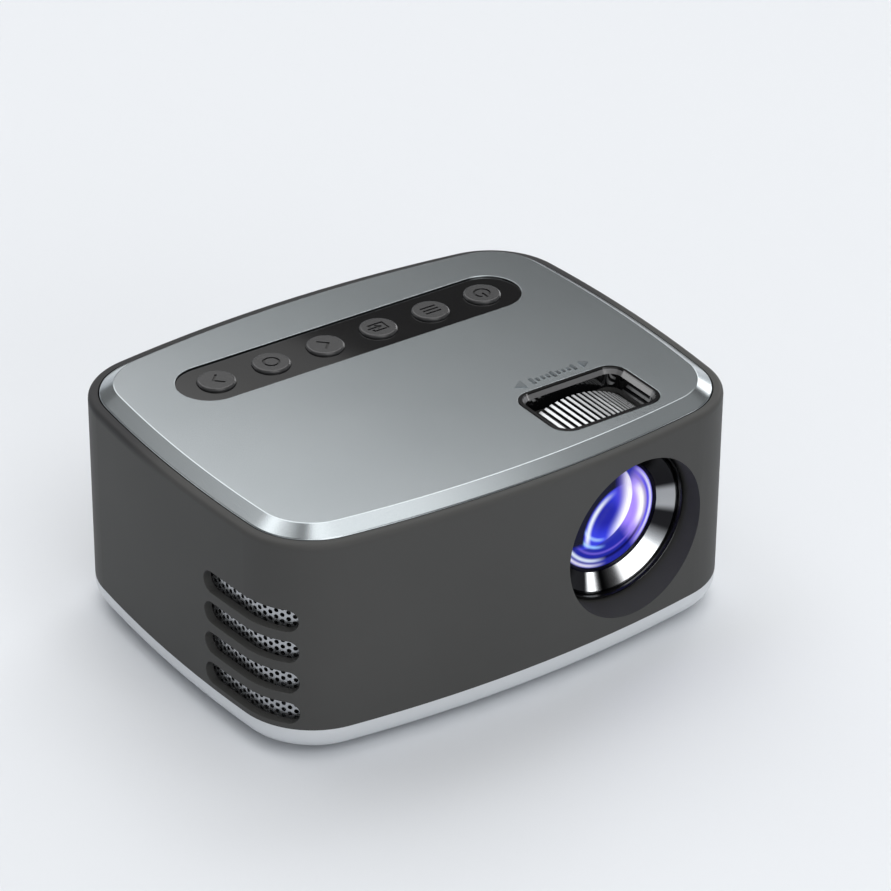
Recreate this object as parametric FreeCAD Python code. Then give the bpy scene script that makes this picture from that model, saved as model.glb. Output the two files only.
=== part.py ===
import FreeCAD, Part
import math
import os

# A pocket-size LED projector, with every separate piece as its own solid, in millimetres.
# The lens looks towards -Y, +X is the right-hand side seen from the lens side, and +Z is up.
# The origin lies under the middle of the body, on the surface that the feet stand on.

V = FreeCAD.Vector
X_AXIS = V(1, 0, 0)
Y_AXIS = V(0, 1, 0)
Z_AXIS = V(0, 0, 1)

# ---- Body outline: four shallow bows joined by round corners --------------------------------
body_width = 127.0
body_depth = 100.2
half_width = body_width / 2
half_depth = body_depth / 2
front_bow_radius = 308.0
side_bow_radius = 318.0
corner_radius = 18.6

# ---- Feet, base cover and housing shell -----------------------------------------------------
foot_height = 1.6
foot_radius = 5.0
foot_from_side = 21.5
foot_from_front = 22.1
foot_x = half_width - foot_from_side
foot_y = half_depth - foot_from_front
base_height = 6.4
base_edge_radius = 5.4
base_floor = 1.8
base_wall = 2.4
base_tab_height = 1.6
base_tab_thickness = 1.4
side_tab_reach = 10.0
back_tab_reach = 28.0
front_tab_length = 26.0
fit_gap = 0.1
shell_height = 46.2
shell_wall = 2.0
rim_width = 2.25
rim_edge_radius = 1.2
deck_thickness = 1.8
deck_drop = 2.4

# ---- Top plate ------------------------------------------------------------------------------
plate_gap = 0.25
plate_skirt_height = 2.5
plate_skirt_wall = 2.4
plate_bevel_width = 3.3
plate_bevel_height = 2.1
plate_thickness = 1.4

# ---- Button panel and buttons ---------------------------------------------------------------
panel_length = 90.7
panel_width = 15.8
panel_x = 0.9
panel_from_back = 27.05
panel_y = half_depth - panel_from_back
panel_sink = 0.4
panel_skin = 1.2
panel_wall = 1.0
button_names = ["previous", "ok", "next", "source", "menu", "power"]
button_pitch = 14.4
button_radius = 4.4
button_stand = 0.7
button_edge_radius = 0.55
button_travel = 0.6
button_clearance = 0.1
button_guide_wall = 0.9
button_guide_depth = 2.1
button_flange_radius = 5.0
button_flange_thickness = 0.8
button_stem_radius = 1.6
symbol_depth = 0.2
symbol_line = 0.55
symbol_size = 1.8

# ---- Key board under the deck ---------------------------------------------------------------
key_board_length = 90.0
key_board_width = 15.0
key_board_thickness = 1.2
key_switch_size = 6.0
key_switch_height = 2.5
key_switch_gap = 0.2
key_plunger_depth = 0.5
key_post_wall = 1.1
key_post_margin = 0.4

# ---- Focus window, over the focus ring ------------------------------------------------------
window_shift = 0.4
window_from_front = 11.0
window_width = 28.7
window_length = 19.5
window_corner = 4.5
bezel_line = 0.8
bezel_stand = 0.1
bezel_slope = 0.75
bezel_slope_depth = 1.3

# ---- Lens group: radii about the lens axis, and places along it (y) -------------------------
lens_from_side = 35.3
lens_x = half_width - lens_from_side
lens_z = 30.1
front_hole_radius = 19.3
collar_wall = 1.6
collar_setback = 12.1
collar_back_y = -half_depth + collar_setback
focus_ring_radius = 24.0
focus_ring_length = 14.6
focus_ring_gap = 0.3
focus_rib_count = 100
focus_rib_height = 0.6
focus_turn_deg = 45.0
focus_lead_per_radian = 3.8
running_gap = 0.08
window_x = lens_x + window_shift
window_y = -half_depth + window_from_front + window_length / 2
barrel_radius = 18.9
barrel_setback = 8.9
barrel_front_y = -half_depth + barrel_setback
barrel_length = 19.0
mount_tube_wall = 1.5
mount_flange_radius = 23.2
mount_screw_circle = 21.0
mount_screw_deg = 33.0
pin_radius = 1.25
pin_reach = 3.1
pin_socket = 1.6
pin_count = 3
groove_clearance = 0.15
barrel_edge = 0.4
front_ring_radius = 18.2
front_ring_setback = 1.4
front_ring_lip = 0.7
front_ring_opening = 13.9
front_ring_depth = 4.48
front_ring_edge = 0.3
front_ring_round = 0.3
front_lens_radius = 15.0
front_lens_edge = 3.2
front_lens_curve = 40.0
front_lens_ledge = 1.5
barrel_shoulder = 1.5
middle_lens_radius = 12.0
middle_lens_thickness = 3.6
middle_lens_curve = 50.0
middle_lens_rim = 1.2
middle_lens_ledge = 1.2
middle_ledge_thickness = 1.0
middle_rear_space = 0.6
rear_lens_radius = 14.0
rear_lens_edge = 2.6
rear_lens_curve = 42.0
rear_lens_flat = 1.6
rear_lens_rim = 1.5
lens_gap = 0.05

# ---- Light engine ---------------------------------------------------------------------------
engine_setback = 55.1
engine_y = -half_depth + engine_setback
channel_width = 44.0
channel_height = 26.0
engine_wall = 2.0
engine_end_wall = 4.0
engine_floor = 1.5
engine_lid = 1.5
lid_screw_inset = 8.6
engine_from_left = 29.5
engine_left_x = -half_width + engine_from_left
engine_light_radius = 17.0
engine_ear_radius = 3.4
engine_ear_thickness = 2.0
ear_front_from_lens = 36.2
ear_back_from_lens = 32.2
ear_front_x = lens_x - ear_front_from_lens
ear_back_x = lens_x - ear_back_from_lens
ear_slide = 9.0
mirror_thickness = 1.1
mirror_margin = 0.4
pane_groove = 0.9
pane_gap = 0.1
fresnel_thickness = 2.0
fresnel_rear_from_lens = 40.2
fresnel_rear_x = lens_x - fresnel_rear_from_lens
heat_glass_thickness = 1.1
heat_glass_from_lens = 34.7
heat_glass_x = lens_x - heat_glass_from_lens
lcd_thickness = 1.8
lcd_from_lens = 30.2
lcd_x = lens_x - lcd_from_lens
fresnel_front_from_lens = 24.7
fresnel_front_x = lens_x - fresnel_front_from_lens
condenser_radius = 12.0
condenser_edge = 2.0
condenser_curve = 18.0
led_board_thickness = 1.6
led_size = 7.0
led_height = 1.0
led_base_height = 0.6
led_dome_radius = 2.45
condenser_gap = 0.4
sink_width = 44.0
sink_height = 28.0
sink_plate = 4.0
sink_depth = 21.0
fin_count = 8
fin_thickness = 1.0
fin_width = 31.0
fin_bite = 0.1

# ---- Fan ------------------------------------------------------------------------------------
fan_size = 35.0
fan_depth = 10.0
fan_from_left = 23.5
fan_from_front = 24.9
fan_x = -half_width + fan_from_left
fan_y = -half_depth + fan_from_front
fan_bore_radius = 16.4
fan_blade_gap = 0.5
fan_hub_radius = 8.0
fan_blade_count = 7
fan_blade_thickness = 1.0
fan_blade_pitch_deg = 38.0
fan_shaft_radius = 1.0
fan_shaft_gap = 0.05
fan_end_gap = 0.5
fan_corner_radius = 2.5
fan_tube_wall = 1.4
fan_arm_width = 1.8
fan_cup_wall = 0.9
fan_cup_front = 1.0
fan_back_thickness = 1.2
fan_cradle_wall = 1.6

# ---- Vents ----------------------------------------------------------------------------------
vent_count = 4
vent_height = 5.4
vent_pitch = 7.77
vent_lowest_z = 12.0
vent_from_front = 31.9
vent_side_y = -half_depth + vent_from_front
vent_corner_deg = 219.5
mesh_thickness = 0.6
mesh_margin = 2.4

# ---- Loudspeaker ----------------------------------------------------------------------------
speaker_from_front = 47.6
speaker_y = -half_depth + speaker_from_front
speaker_z = 31.0
speaker_radius = 13.0
speaker_depth = 5.0
speaker_lip = 1.2
speaker_lip_width = 1.6
speaker_can_step = 0.8
speaker_can_back = 1.0
speaker_rim = 1.7
speaker_coil_radius = 4.0
speaker_cone_inset = 0.6
speaker_cone_depth = 3.0
cone_wall = 0.5
speaker_magnet_radius = 8.0
speaker_magnet_depth = 3.6
speaker_hole_radius = 1.0
speaker_hole_pitch = 3.4

# ---- Main board and rear sockets ------------------------------------------------------------
board_thickness = 1.6
board_side_gap = 17.5
board_back_gap = 5.5
board_length = 36.1
board_half_width = half_width - board_side_gap
board_back_y = half_depth - board_back_gap
board_front_y = board_back_y - board_length
board_z = 9.5
board_post_inset = 3.6
board_post_back = 14.6
chip_height = 1.3
processor_size = 14.0
memory_size = 9.0
driver_size = 8.0
regulator_size = 6.0
capacitor_radius = 3.15
capacitor_height = 7.5
capacitor_edge = 0.5
socket_recess = 1.0
socket_gap = 0.25
hdmi_x = -8.0
hdmi_width = 15.0
hdmi_height = 5.6
hdmi_depth = 11.5
usb_x = 11.5
usb_width = 13.1
usb_height = 6.8
usb_depth = 13.5
card_x = 27.0
card_width = 14.0
card_height = 2.4
card_depth = 14.0
socket_sheet = 0.4
socket_back = 2.0
av_jack_x = 38.5
headphone_jack_x = -22.0
jack_width = 6.4
jack_height = 5.2
jack_depth = 12.0
jack_bore_radius = 1.8
power_jack_x = -33.0
power_jack_size = 9.0
power_jack_depth = 12.0
power_jack_bore_radius = 3.2
power_jack_pin_radius = 1.0
ir_x = 2.0
ir_z = 24.0
ir_window_radius = 2.6
ir_body_width = 4.4
ir_body_depth = 3.2
ir_body_height = 5.6
ir_leg_width = 0.5
ir_leg_pitch = 1.27

# ---- Fasteners and bosses -------------------------------------------------------------------
case_screw_radius = 1.25
case_screw_head_radius = 2.4
case_screw_head_height = 1.6
case_screw_length = 12.0
boss_radius = 3.2
base_boss_radius = 4.0
boss_inset = 10.0
small_screw_radius = 1.0
small_screw_head_radius = 1.9
small_screw_head_height = 1.2
small_screw_length = 5.0
screw_gap = 0.1
post_radius = 3.0
tripod_bore_radius = 2.55
tripod_bush_radius = 4.6
tripod_bush_length = 6.0
tripod_boss_wall = 2.0

# ---- Levels, from the surface up ------------------------------------------------------------
base_bottom = foot_height
base_floor_top = base_bottom + base_floor
shell_bottom = base_bottom + base_height
rim_top = shell_bottom + shell_height
deck_top = rim_top - deck_drop
deck_bottom = deck_top - deck_thickness
plate_shoulder = deck_top + plate_skirt_height
plate_top = plate_shoulder + plate_bevel_height
panel_top = plate_top - panel_sink
button_top = panel_top + button_stand
guide_bottom = panel_top - button_guide_depth
flange_top = guide_bottom - button_clearance
flange_bottom = flange_top - button_flange_thickness
switch_top = deck_bottom - key_switch_gap
key_board_top = switch_top - key_switch_height
key_board_bottom = key_board_top - key_board_thickness
key_screw_tip = key_board_bottom + small_screw_length
board_top = board_z + board_thickness
engine_bottom = lens_z - channel_height / 2 - engine_floor
engine_lid_bottom = lens_z + channel_height / 2
engine_top = engine_lid_bottom + engine_lid


# ---- Shape helpers --------------------------------------------------------------------------
def box(x_range, y_range, z_range):
    size = [high - low for low, high in (x_range, y_range, z_range)]
    return Part.makeBox(size[0], size[1], size[2], V(x_range[0], y_range[0], z_range[0]))


def rod(radius, start, end):
    """A round rod between two points."""
    direction = end - start
    return Part.makeCylinder(radius, direction.Length, start, direction)


def tube(outer_radius, inner_radius, start, end):
    return rod(outer_radius, start, end).cut(rod(inner_radius, start, end))


def upright(radius, x, y, z_low, z_high):
    return rod(radius, V(x, y, z_low), V(x, y, z_high))


def polygon(points):
    return Part.makePolygon(points + [points[0]])


def prism(wire, direction):
    return Part.Face(wire).extrude(direction)


def revolve(profile):
    """Turn a closed (radius, y) profile about the lens axis."""
    wire = polygon([V(lens_x + radius, y, lens_z) for radius, y in profile])
    return Part.Face(wire).revolve(V(lens_x, 0, lens_z), Y_AXIS, 360)


def lens_rod(radius, y_low, y_high):
    return rod(radius, V(lens_x, y_low, lens_z), V(lens_x, y_high, lens_z))


def cap_sphere(radius, rim_radius, rim, outward):
    """A ball whose surface passes through a rim circle and bulges along 'outward'."""
    centre = rim - outward * math.sqrt(radius ** 2 - rim_radius ** 2)
    return Part.makeSphere(radius, centre)


def union(shapes):
    return shapes[0].multiFuse(shapes[1:]).removeSplitter() if len(shapes) > 1 else shapes[0]


def edges_at(shape, z):
    """The edges of a shape that lie flat at one height."""
    flat = [edge for edge in shape.Edges
            if abs(edge.BoundBox.ZMin - z) < 0.01 and abs(edge.BoundBox.ZMax - z) < 0.01]
    return flat


# ---- The bowed outline ----------------------------------------------------------------------
def corner_centre():
    """Where a corner arc is centred, so that it meets the front and side bows smoothly."""
    bow_y = half_depth - front_bow_radius
    bow_x = half_width - side_bow_radius
    reach_front = front_bow_radius - corner_radius
    reach_side = side_bow_radius - corner_radius
    span = math.hypot(bow_x, bow_y)
    along = (reach_front ** 2 - reach_side ** 2 + span ** 2) / (2 * span)
    across = math.sqrt(reach_front ** 2 - along ** 2)
    unit_x, unit_y = bow_x / span, -bow_y / span
    return V(along * unit_x + across * unit_y, bow_y + along * unit_y - across * unit_x, 0)


corner = corner_centre()


def outline(inset, z):
    """The body's outline, moved inwards by 'inset', as a closed wire at height z."""
    front_bow = V(0, half_depth - front_bow_radius, 0)
    side_bow = V(half_width - side_bow_radius, 0, 0)
    to_corner = (corner - front_bow).normalize()
    to_side = (corner - side_bow).normalize()
    a = front_bow + to_corner * (front_bow_radius - inset)
    b = side_bow + to_side * (side_bow_radius - inset)
    mid = corner + (to_corner + to_side).normalize() * (corner_radius - inset)

    def flip(point, sign_x, sign_y):
        return V(point.x * sign_x, point.y * sign_y, z)

    stops = [(1, 1), (1, -1), (-1, -1), (-1, 1)]
    edges = []
    for sign_x, sign_y in stops:
        first, last = (a, b) if sign_x * sign_y > 0 else (b, a)
        edges.append(Part.Arc(flip(first, sign_x, sign_y), flip(mid, sign_x, sign_y),
                              flip(last, sign_x, sign_y)).toShape())
        if sign_x * sign_y > 0:
            middle = V(sign_x * (half_width - inset), 0, z)
            edges.append(Part.Arc(flip(b, sign_x, sign_y), middle, flip(b, sign_x, -sign_y)).toShape())
        else:
            middle = V(0, sign_y * (half_depth - inset), z)
            edges.append(Part.Arc(flip(a, sign_x, sign_y), middle, flip(a, -sign_x, sign_y)).toShape())
    return Part.Wire(edges)


def slab(inset, z_low, z_high):
    """The solid inside the outline between two heights."""
    return prism(outline(inset, z_low), V(0, 0, z_high - z_low))


def band(inset, thickness, z_low, z_high):
    return slab(inset, z_low, z_high).cut(slab(inset + thickness, z_low - 1, z_high + 1))


def back_y(x, inset=0.0):
    """Where the back wall's bow lies at x; the front wall is its mirror image."""
    radius = front_bow_radius - inset
    return half_depth - front_bow_radius + math.sqrt(radius ** 2 - x ** 2)


def side_x(y, inset=0.0):
    radius = side_bow_radius - inset
    return half_width - side_bow_radius + math.sqrt(radius ** 2 - y ** 2)


def boss_places():
    """The four corner places where the base is screwed to the shell."""
    lean = V(1, 1, 0).normalize() * boss_inset
    place = corner + lean
    return [(sx * place.x, sy * place.y) for sx in (-1, 1) for sy in (-1, 1)]


def capsule(length, width, z_low, z_high):
    """A bar with round ends, centred on the button panel."""
    radius = width / 2
    reach = length / 2 - radius
    block = box((panel_x - reach, panel_x + reach), (panel_y - radius, panel_y + radius), (z_low, z_high))
    ends = [upright(radius, panel_x + side * reach, panel_y, z_low, z_high) for side in (-1, 1)]
    return union([block] + ends)


def rounded_rectangle(width, length, radius, z):
    """A wire centred on the focus window."""
    x, y = width / 2, length / 2
    straight = [(-x + radius, -y), (x - radius, -y), (x, -y + radius), (x, y - radius),
                (x - radius, y), (-x + radius, y), (-x, y - radius), (-x, -y + radius)]
    slant = radius * (1 - math.sqrt(0.5))
    mids = [(x - slant, -y + slant), (x - slant, y - slant), (-x + slant, y - slant),
            (-x + slant, -y + slant)]

    def place(pair):
        return V(window_x + pair[0], window_y + pair[1], z)

    edges = []
    for index, mid in enumerate(mids):
        start, end = straight[2 * index], straight[2 * index + 1]
        after = straight[(2 * index + 2) % len(straight)]
        edges.append(Part.makeLine(place(start), place(end)))
        edges.append(Part.Arc(place(end), place(mid), place(after)).toShape())
    return Part.Wire(edges)


# ---- Vents ----------------------------------------------------------------------------------
def vent_wedge(margin):
    """A wedge in plan that covers the slots' run, grown at both ends by 'margin'."""
    side_bow = V(side_bow_radius - half_width, 0, 0)
    side_turn = math.asin((vent_side_y + margin) / side_bow_radius)
    side_point = V(side_bow.x - side_bow_radius * math.cos(side_turn),
                   side_bow_radius * math.sin(side_turn), 0)
    side_way = (side_point - side_bow).normalize()
    corner_turn = math.radians(vent_corner_deg) + margin / corner_radius
    corner_way = V(math.cos(corner_turn), math.sin(corner_turn), 0)
    corner_point = V(-corner.x, -corner.y, 0) + corner_way * corner_radius
    return side_point, side_way, corner_point, corner_way


def wedge_solid(margin, z_low, z_high):
    side_point, side_way, corner_point, corner_way = vent_wedge(margin)
    reach = corner_radius / 2
    points = [side_point - side_way * reach, side_point + side_way * reach,
              V(side_point.x - reach, corner_point.y - reach, 0), corner_point + corner_way * reach,
              corner_point - corner_way * reach]
    base = [V(point.x, point.y, z_low) for point in points]
    return prism(polygon(base), V(0, 0, z_high - z_low))


def vent_slots():
    """Four round-ended slots that wrap the front left corner, as cutting solids."""
    radius = vent_height / 2
    side_point, side_way, corner_point, corner_way = vent_wedge(0)
    reach = shell_wall * 1.5
    slots = []
    for row in range(vent_count):
        z = vent_lowest_z + row * vent_pitch
        low, high = z - radius, z + radius
        slots.append(band(-1, shell_wall + 1.5, low, high).common(wedge_solid(0, low - 1, high + 1)))
        for point, way in ((side_point, side_way), (corner_point, corner_way)):
            centre = V(point.x, point.y, z)
            slots.append(rod(radius, centre - way * reach, centre + way * 1.5))
    return union(slots)


def vent_mesh():
    low = vent_lowest_z - vent_height / 2 - mesh_margin / 2
    high = vent_lowest_z + (vent_count - 1) * vent_pitch + vent_height / 2 + mesh_margin
    sheet = band(shell_wall, mesh_thickness, low, high)
    return sheet.common(wedge_solid(vent_height / 2 + mesh_margin, low - 1, high + 1))


def half_turn(shape):
    """The same piece at the opposite corner of the body."""
    copy = shape.copy()
    copy.rotate(V(0, 0, 0), Z_AXIS, 180)
    return copy


# ---- Places shared by several pieces --------------------------------------------------------
button_places = [panel_x + (index - (len(button_names) - 1) / 2) * button_pitch
                 for index in range(len(button_names))]
key_post_radius = small_screw_radius + key_post_wall
key_post_reach = key_board_length / 2 - key_post_radius - key_post_margin
key_post_places = [panel_x + side * key_post_reach for side in (-1, 0, 1)]

ring_front_y = collar_back_y + focus_ring_gap
ring_back_y = ring_front_y + focus_ring_length
ring_sweep = (ring_front_y - focus_ring_gap, ring_back_y + focus_ring_gap)
ring_sweep_radius = focus_ring_radius + focus_ring_gap

engine_front_y = engine_y - channel_width / 2 - engine_wall
engine_back_y = engine_y + channel_width / 2 + engine_wall
channel_low_y = engine_y - channel_width / 2
channel_high_y = engine_y + channel_width / 2
channel_left_x = engine_left_x + engine_end_wall
channel_right_x = lens_x + channel_width / 2
mirror_sum = lens_x + engine_y
back_sum = mirror_sum + mirror_thickness * math.sqrt(2)
ear_reach = engine_ear_radius + 0.1
diagonal_reach = (back_sum / 2 + (engine_wall + ear_reach) * math.sqrt(0.5))
engine_ears = [
    (V(ear_front_x, engine_front_y - ear_reach, 0), 90),
    (V(channel_right_x + engine_wall + ear_reach, engine_front_y + ear_reach, 0), 180),
    (V(ear_back_x, engine_back_y + ear_reach, 0), -90),
    (V(diagonal_reach + ear_slide, diagonal_reach - ear_slide, 0), -135),
]
board_posts = [(side * (board_half_width - board_post_inset), y) for side in (-1, 1)
               for y in (board_front_y + board_post_inset, board_back_y - board_post_back)]


# ---- Housing shell --------------------------------------------------------------------------
def socket_openings():
    """Openings through the back wall, one for each socket, a little larger than the socket."""
    cuts = []
    for x, width, height in ((hdmi_x, hdmi_width, hdmi_height), (usb_x, usb_width, usb_height),
                             (card_x, card_width, card_height)):
        reach = width / 2 + socket_gap
        cuts.append(box((x - reach, x + reach), (back_y(x) - 2 * shell_wall, half_depth + 1),
                        (board_top - socket_gap, board_top + height + socket_gap)))
    for x, radius, z in round_openings():
        cuts.append(rod(radius, V(x, back_y(x) - 2 * shell_wall, z), V(x, half_depth + 1, z)))
    return cuts


def round_openings():
    jack_z = board_top + jack_height / 2
    power_z = board_top + power_jack_size / 2
    return [(av_jack_x, jack_height / 2, jack_z), (headphone_jack_x, jack_height / 2, jack_z),
            (power_jack_x, power_jack_bore_radius + 0.4, power_z), (ir_x, ir_window_radius, ir_z)]


def speaker_holes():
    holes = []
    rows = 2
    row_step = speaker_hole_pitch * math.sqrt(0.75)
    for row in range(-rows, rows + 1):
        count = 2 * rows + 1 - abs(row)
        for index in range(count):
            y = speaker_y + (index - (count - 1) / 2) * speaker_hole_pitch
            z = speaker_z + row * row_step
            inside = V(side_x(y) - 2 * shell_wall, y, z)
            holes.append(rod(speaker_hole_radius, inside, V(half_width + 1, y, z)))
    return holes


def ring_clearance():
    """The space that the turning focus ring needs."""
    return lens_rod(ring_sweep_radius, ring_sweep[0], ring_sweep[1])


def window_opening():
    """The straight opening under the focus window."""
    inner = rounded_rectangle(window_width - 2 * bezel_line - 2 * bezel_slope,
                              window_length - 2 * bezel_line - 2 * bezel_slope,
                              window_corner - bezel_line - bezel_slope, deck_bottom - 1)
    return prism(inner, V(0, 0, deck_thickness + 2))


def housing_shell():
    outer = slab(0, shell_bottom, rim_top)
    outer = outer.makeFillet(rim_edge_radius, edges_at(outer, rim_top))
    hollow = slab(shell_wall, shell_bottom - 1, deck_bottom)
    recess = slab(rim_width, deck_top, rim_top + 1)
    body = outer.cut([hollow, recess])
    collar_outer = lens_rod(front_hole_radius + collar_wall, -half_depth, collar_back_y)
    added = [collar_outer.common(slab(shell_wall / 2, shell_bottom, rim_top))]
    for x, y in boss_places():
        added.append(upright(boss_radius, x, y, shell_bottom, deck_bottom + deck_thickness / 2))
    for x in key_post_places:
        added.append(upright(key_post_radius, x, panel_y, key_board_top, deck_bottom + deck_thickness / 2))
    cuts = [lens_rod(front_hole_radius, -half_depth - 1, collar_back_y + 1), vent_slots(),
            half_turn(vent_slots()), ring_clearance(), window_opening()]
    for x, y in boss_places():
        cuts.append(upright(case_screw_radius, x, y, shell_bottom - 1, case_screw_tip + 0.5))
    for x in key_post_places:
        cuts.append(upright(small_screw_radius, x, panel_y, key_board_top - 1, key_screw_tip + 0.2))
    for x in button_places:
        cuts.append(upright(button_stem_radius + 0.4, x, panel_y, deck_bottom - 1, deck_top + 1))
    body = body.multiFuse(added)
    return body.cut(cuts + socket_openings() + speaker_holes())


# ---- Top plate, button panel, bezel ---------------------------------------------------------
def bezel_outline(grow, z):
    return rounded_rectangle(window_width + 2 * grow, window_length + 2 * grow, window_corner + grow, z)


def top_plate():
    outer_inset = rim_width + plate_gap
    skirt = slab(outer_inset, deck_top, plate_shoulder)
    bevel = Part.makeLoft([outline(outer_inset, plate_shoulder),
                           outline(outer_inset + plate_bevel_width, plate_top)], True, True)
    hollow = slab(outer_inset + plate_skirt_wall, deck_top - 1, plate_top - plate_thickness)
    panel_hole = capsule(panel_length + 2 * fit_gap, panel_width + 2 * fit_gap, deck_top, plate_top + 1)
    window_hole = prism(bezel_outline(fit_gap, deck_top - 1), V(0, 0, plate_top - deck_top + 2))
    return skirt.fuse(bevel).removeSplitter().cut([hollow, panel_hole, window_hole])


def focus_window_bezel():
    """A frame whose inner sides slope down to the ribbed ring."""
    top = plate_top + bezel_stand
    block = prism(bezel_outline(0, deck_top), V(0, 0, top - deck_top))
    slope_top = rounded_rectangle(window_width - 2 * bezel_line, window_length - 2 * bezel_line,
                                  window_corner - bezel_line, top)
    slope_low = rounded_rectangle(window_width - 2 * bezel_line - 2 * bezel_slope,
                                  window_length - 2 * bezel_line - 2 * bezel_slope,
                                  window_corner - bezel_line - bezel_slope, top - bezel_slope_depth)
    funnel = Part.makeLoft([slope_low, slope_top], True, True)
    throat = prism(slope_low, V(0, 0, deck_top - 1 - (top - bezel_slope_depth)))
    return block.cut([funnel, throat, ring_clearance()])


def button_panel():
    outer = capsule(panel_length, panel_width, deck_top, panel_top)
    hollow = capsule(panel_length - 2 * panel_wall, panel_width - 2 * panel_wall, deck_top - 1,
                     panel_top - panel_skin)
    bore = button_radius + button_clearance
    guides = [upright(bore + button_guide_wall, x, panel_y, guide_bottom, panel_top) for x in button_places]
    holes = [upright(bore, x, panel_y, guide_bottom - 1, panel_top + 1) for x in button_places]
    return outer.cut(hollow).multiFuse(guides).cut(holes)


# ---- Buttons and their symbols --------------------------------------------------------------
# Each symbol is drawn on a flat field seen by someone behind the projector, so it is turned
# half round before it is cut into the cap.
def bar(start, end):
    """A flat line of the symbol's line width, as a cutting solid."""
    start, end = V(start[0], start[1], 0), V(end[0], end[1], 0)
    along = end - start
    block = Part.makeBox(along.Length + symbol_line, symbol_line, 2, V(-symbol_line / 2, -symbol_line / 2, 0))
    block.rotate(V(0, 0, 0), Z_AXIS, math.degrees(math.atan2(along.y, along.x)))
    block.translate(start)
    return block


def ring_mark(radius):
    outer = Part.makeCylinder(radius + symbol_line / 2, 2)
    return outer.cut(Part.makeCylinder(radius - symbol_line / 2, 2))


def chevron(side):
    size = symbol_size
    tip = (side * size * 0.5, 0)
    return [bar((-side * size * 0.5, size), tip), bar((-side * size * 0.5, -size), tip)]


def power_symbol():
    size = symbol_size
    gap = box((-size * 0.5, size * 0.5), (0, size * 1.5), (-1, 3))
    return [ring_mark(size).cut(gap), bar((0, size * 0.2), (0, size * 1.15))]


def source_symbol():
    size = symbol_size
    sides = [bar((size, -size * 0.8), (-size, -size * 0.8)), bar((-size, -size * 0.8), (-size, size * 0.8)),
             bar((-size, size * 0.8), (size, size * 0.8)), bar((size, size * 0.8), (size, size * 0.5)),
             bar((size, -size * 0.8), (size, -size * 0.5))]
    arrow = [bar((size * 1.4, 0), (-size * 0.3, 0)), bar((size * 0.2, size * 0.4), (-size * 0.3, 0)),
             bar((size * 0.2, -size * 0.4), (-size * 0.3, 0))]
    return sides + arrow


def menu_symbol():
    size = symbol_size
    return [bar((-size, level * size * 0.7), (size, level * size * 0.7)) for level in (-1, 0, 1)]


symbols = {
    "previous": chevron(1),
    "ok": [ring_mark(symbol_size)],
    "next": chevron(-1),
    "source": source_symbol(),
    "menu": menu_symbol(),
    "power": power_symbol(),
}


def button(name):
    x = button_places[button_names.index(name)]
    cap = upright(button_radius, x, panel_y, flange_top - 0.01, button_top)
    cap = cap.makeFillet(button_edge_radius, edges_at(cap, button_top))
    flange = upright(button_flange_radius, x, panel_y, flange_bottom, flange_top)
    stem = upright(button_stem_radius, x, panel_y, switch_top - key_plunger_depth, flange_bottom)
    body = union([cap, flange, stem])
    mark = union(symbols[name])
    mark.rotate(V(0, 0, 0), Z_AXIS, 180)
    mark.translate(V(x, panel_y, button_top - symbol_depth))
    return body.cut(mark)


# ---- Base cover, feet and bush --------------------------------------------------------------
case_screw_seat = base_bottom + case_screw_head_height + 1.0
case_screw_tip = case_screw_seat + case_screw_length
fan_low_z = lens_z - fan_size / 2
fan_front_y = fan_y - fan_depth / 2
fan_back_y = fan_y + fan_depth / 2


def base_tabs():
    """Short upright tabs that locate the shell on the base."""
    low, high = shell_bottom - 1.5, shell_bottom + base_tab_height
    ring = band(shell_wall + fit_gap, base_tab_thickness, low, high)
    front_tab_end = lens_x - front_tab_length
    sides = box((-half_width, half_width), (-side_tab_reach, side_tab_reach), (low, high))
    back = box((-back_tab_reach, back_tab_reach), (0, half_depth), (low, high))
    front = box((front_tab_end - front_tab_length, front_tab_end), (-half_depth, 0), (low, high))
    return [ring.common(zone) for zone in (sides, back, front)]


def fan_cradle(x):
    """One of the two grooved blocks that the fan stands in."""
    depth = (fan_front_y - fan_cradle_wall, fan_back_y + fan_cradle_wall)
    block = box((x - 3, x + 3), depth, (base_floor_top - 0.5, fan_low_z + 2.5))
    groove = box((x - 4, x + 4), (fan_front_y - 0.05, fan_back_y + 0.05), (fan_low_z, fan_low_z + 4))
    return block.cut(groove)


def base_cover():
    outer = slab(0, base_bottom, shell_bottom)
    outer = outer.makeFillet(base_edge_radius, edges_at(outer, base_bottom))
    hollow = slab(base_wall, base_floor_top, shell_bottom + 5)
    hollow = hollow.makeFillet(base_edge_radius - base_floor, edges_at(hollow, base_floor_top))
    foot = base_floor_top - 0.5
    added = base_tabs() + [fan_cradle(fan_x - fan_size / 4), fan_cradle(fan_x + fan_size / 4)]
    cuts = []
    for x, y in boss_places():
        added.append(upright(base_boss_radius, x, y, foot, shell_bottom - fit_gap))
        cuts.append(upright(case_screw_radius + screw_gap, x, y, base_bottom - 1, shell_bottom + 1))
        cuts.append(upright(case_screw_head_radius + 0.15, x, y, base_bottom - 1, case_screw_seat))
    for ear, _ in engine_ears:
        added.append(upright(post_radius, ear.x, ear.y, foot, engine_bottom))
        cuts.append(upright(small_screw_radius, ear.x, ear.y, engine_bottom - 4.5, engine_bottom + 1))
    for x, y in board_posts:
        added.append(upright(post_radius, x, y, foot, board_z))
        cuts.append(upright(small_screw_radius, x, y, board_z - 4.5, board_z + 1))
    bush_top = base_bottom + tripod_bush_length
    added.append(upright(tripod_bush_radius + tripod_boss_wall, 0, 0, foot, bush_top + 1.2))
    cuts.append(upright(tripod_bush_radius, 0, 0, base_bottom - 1, bush_top))
    return outer.cut(hollow).multiFuse(added).cut(cuts)


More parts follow.
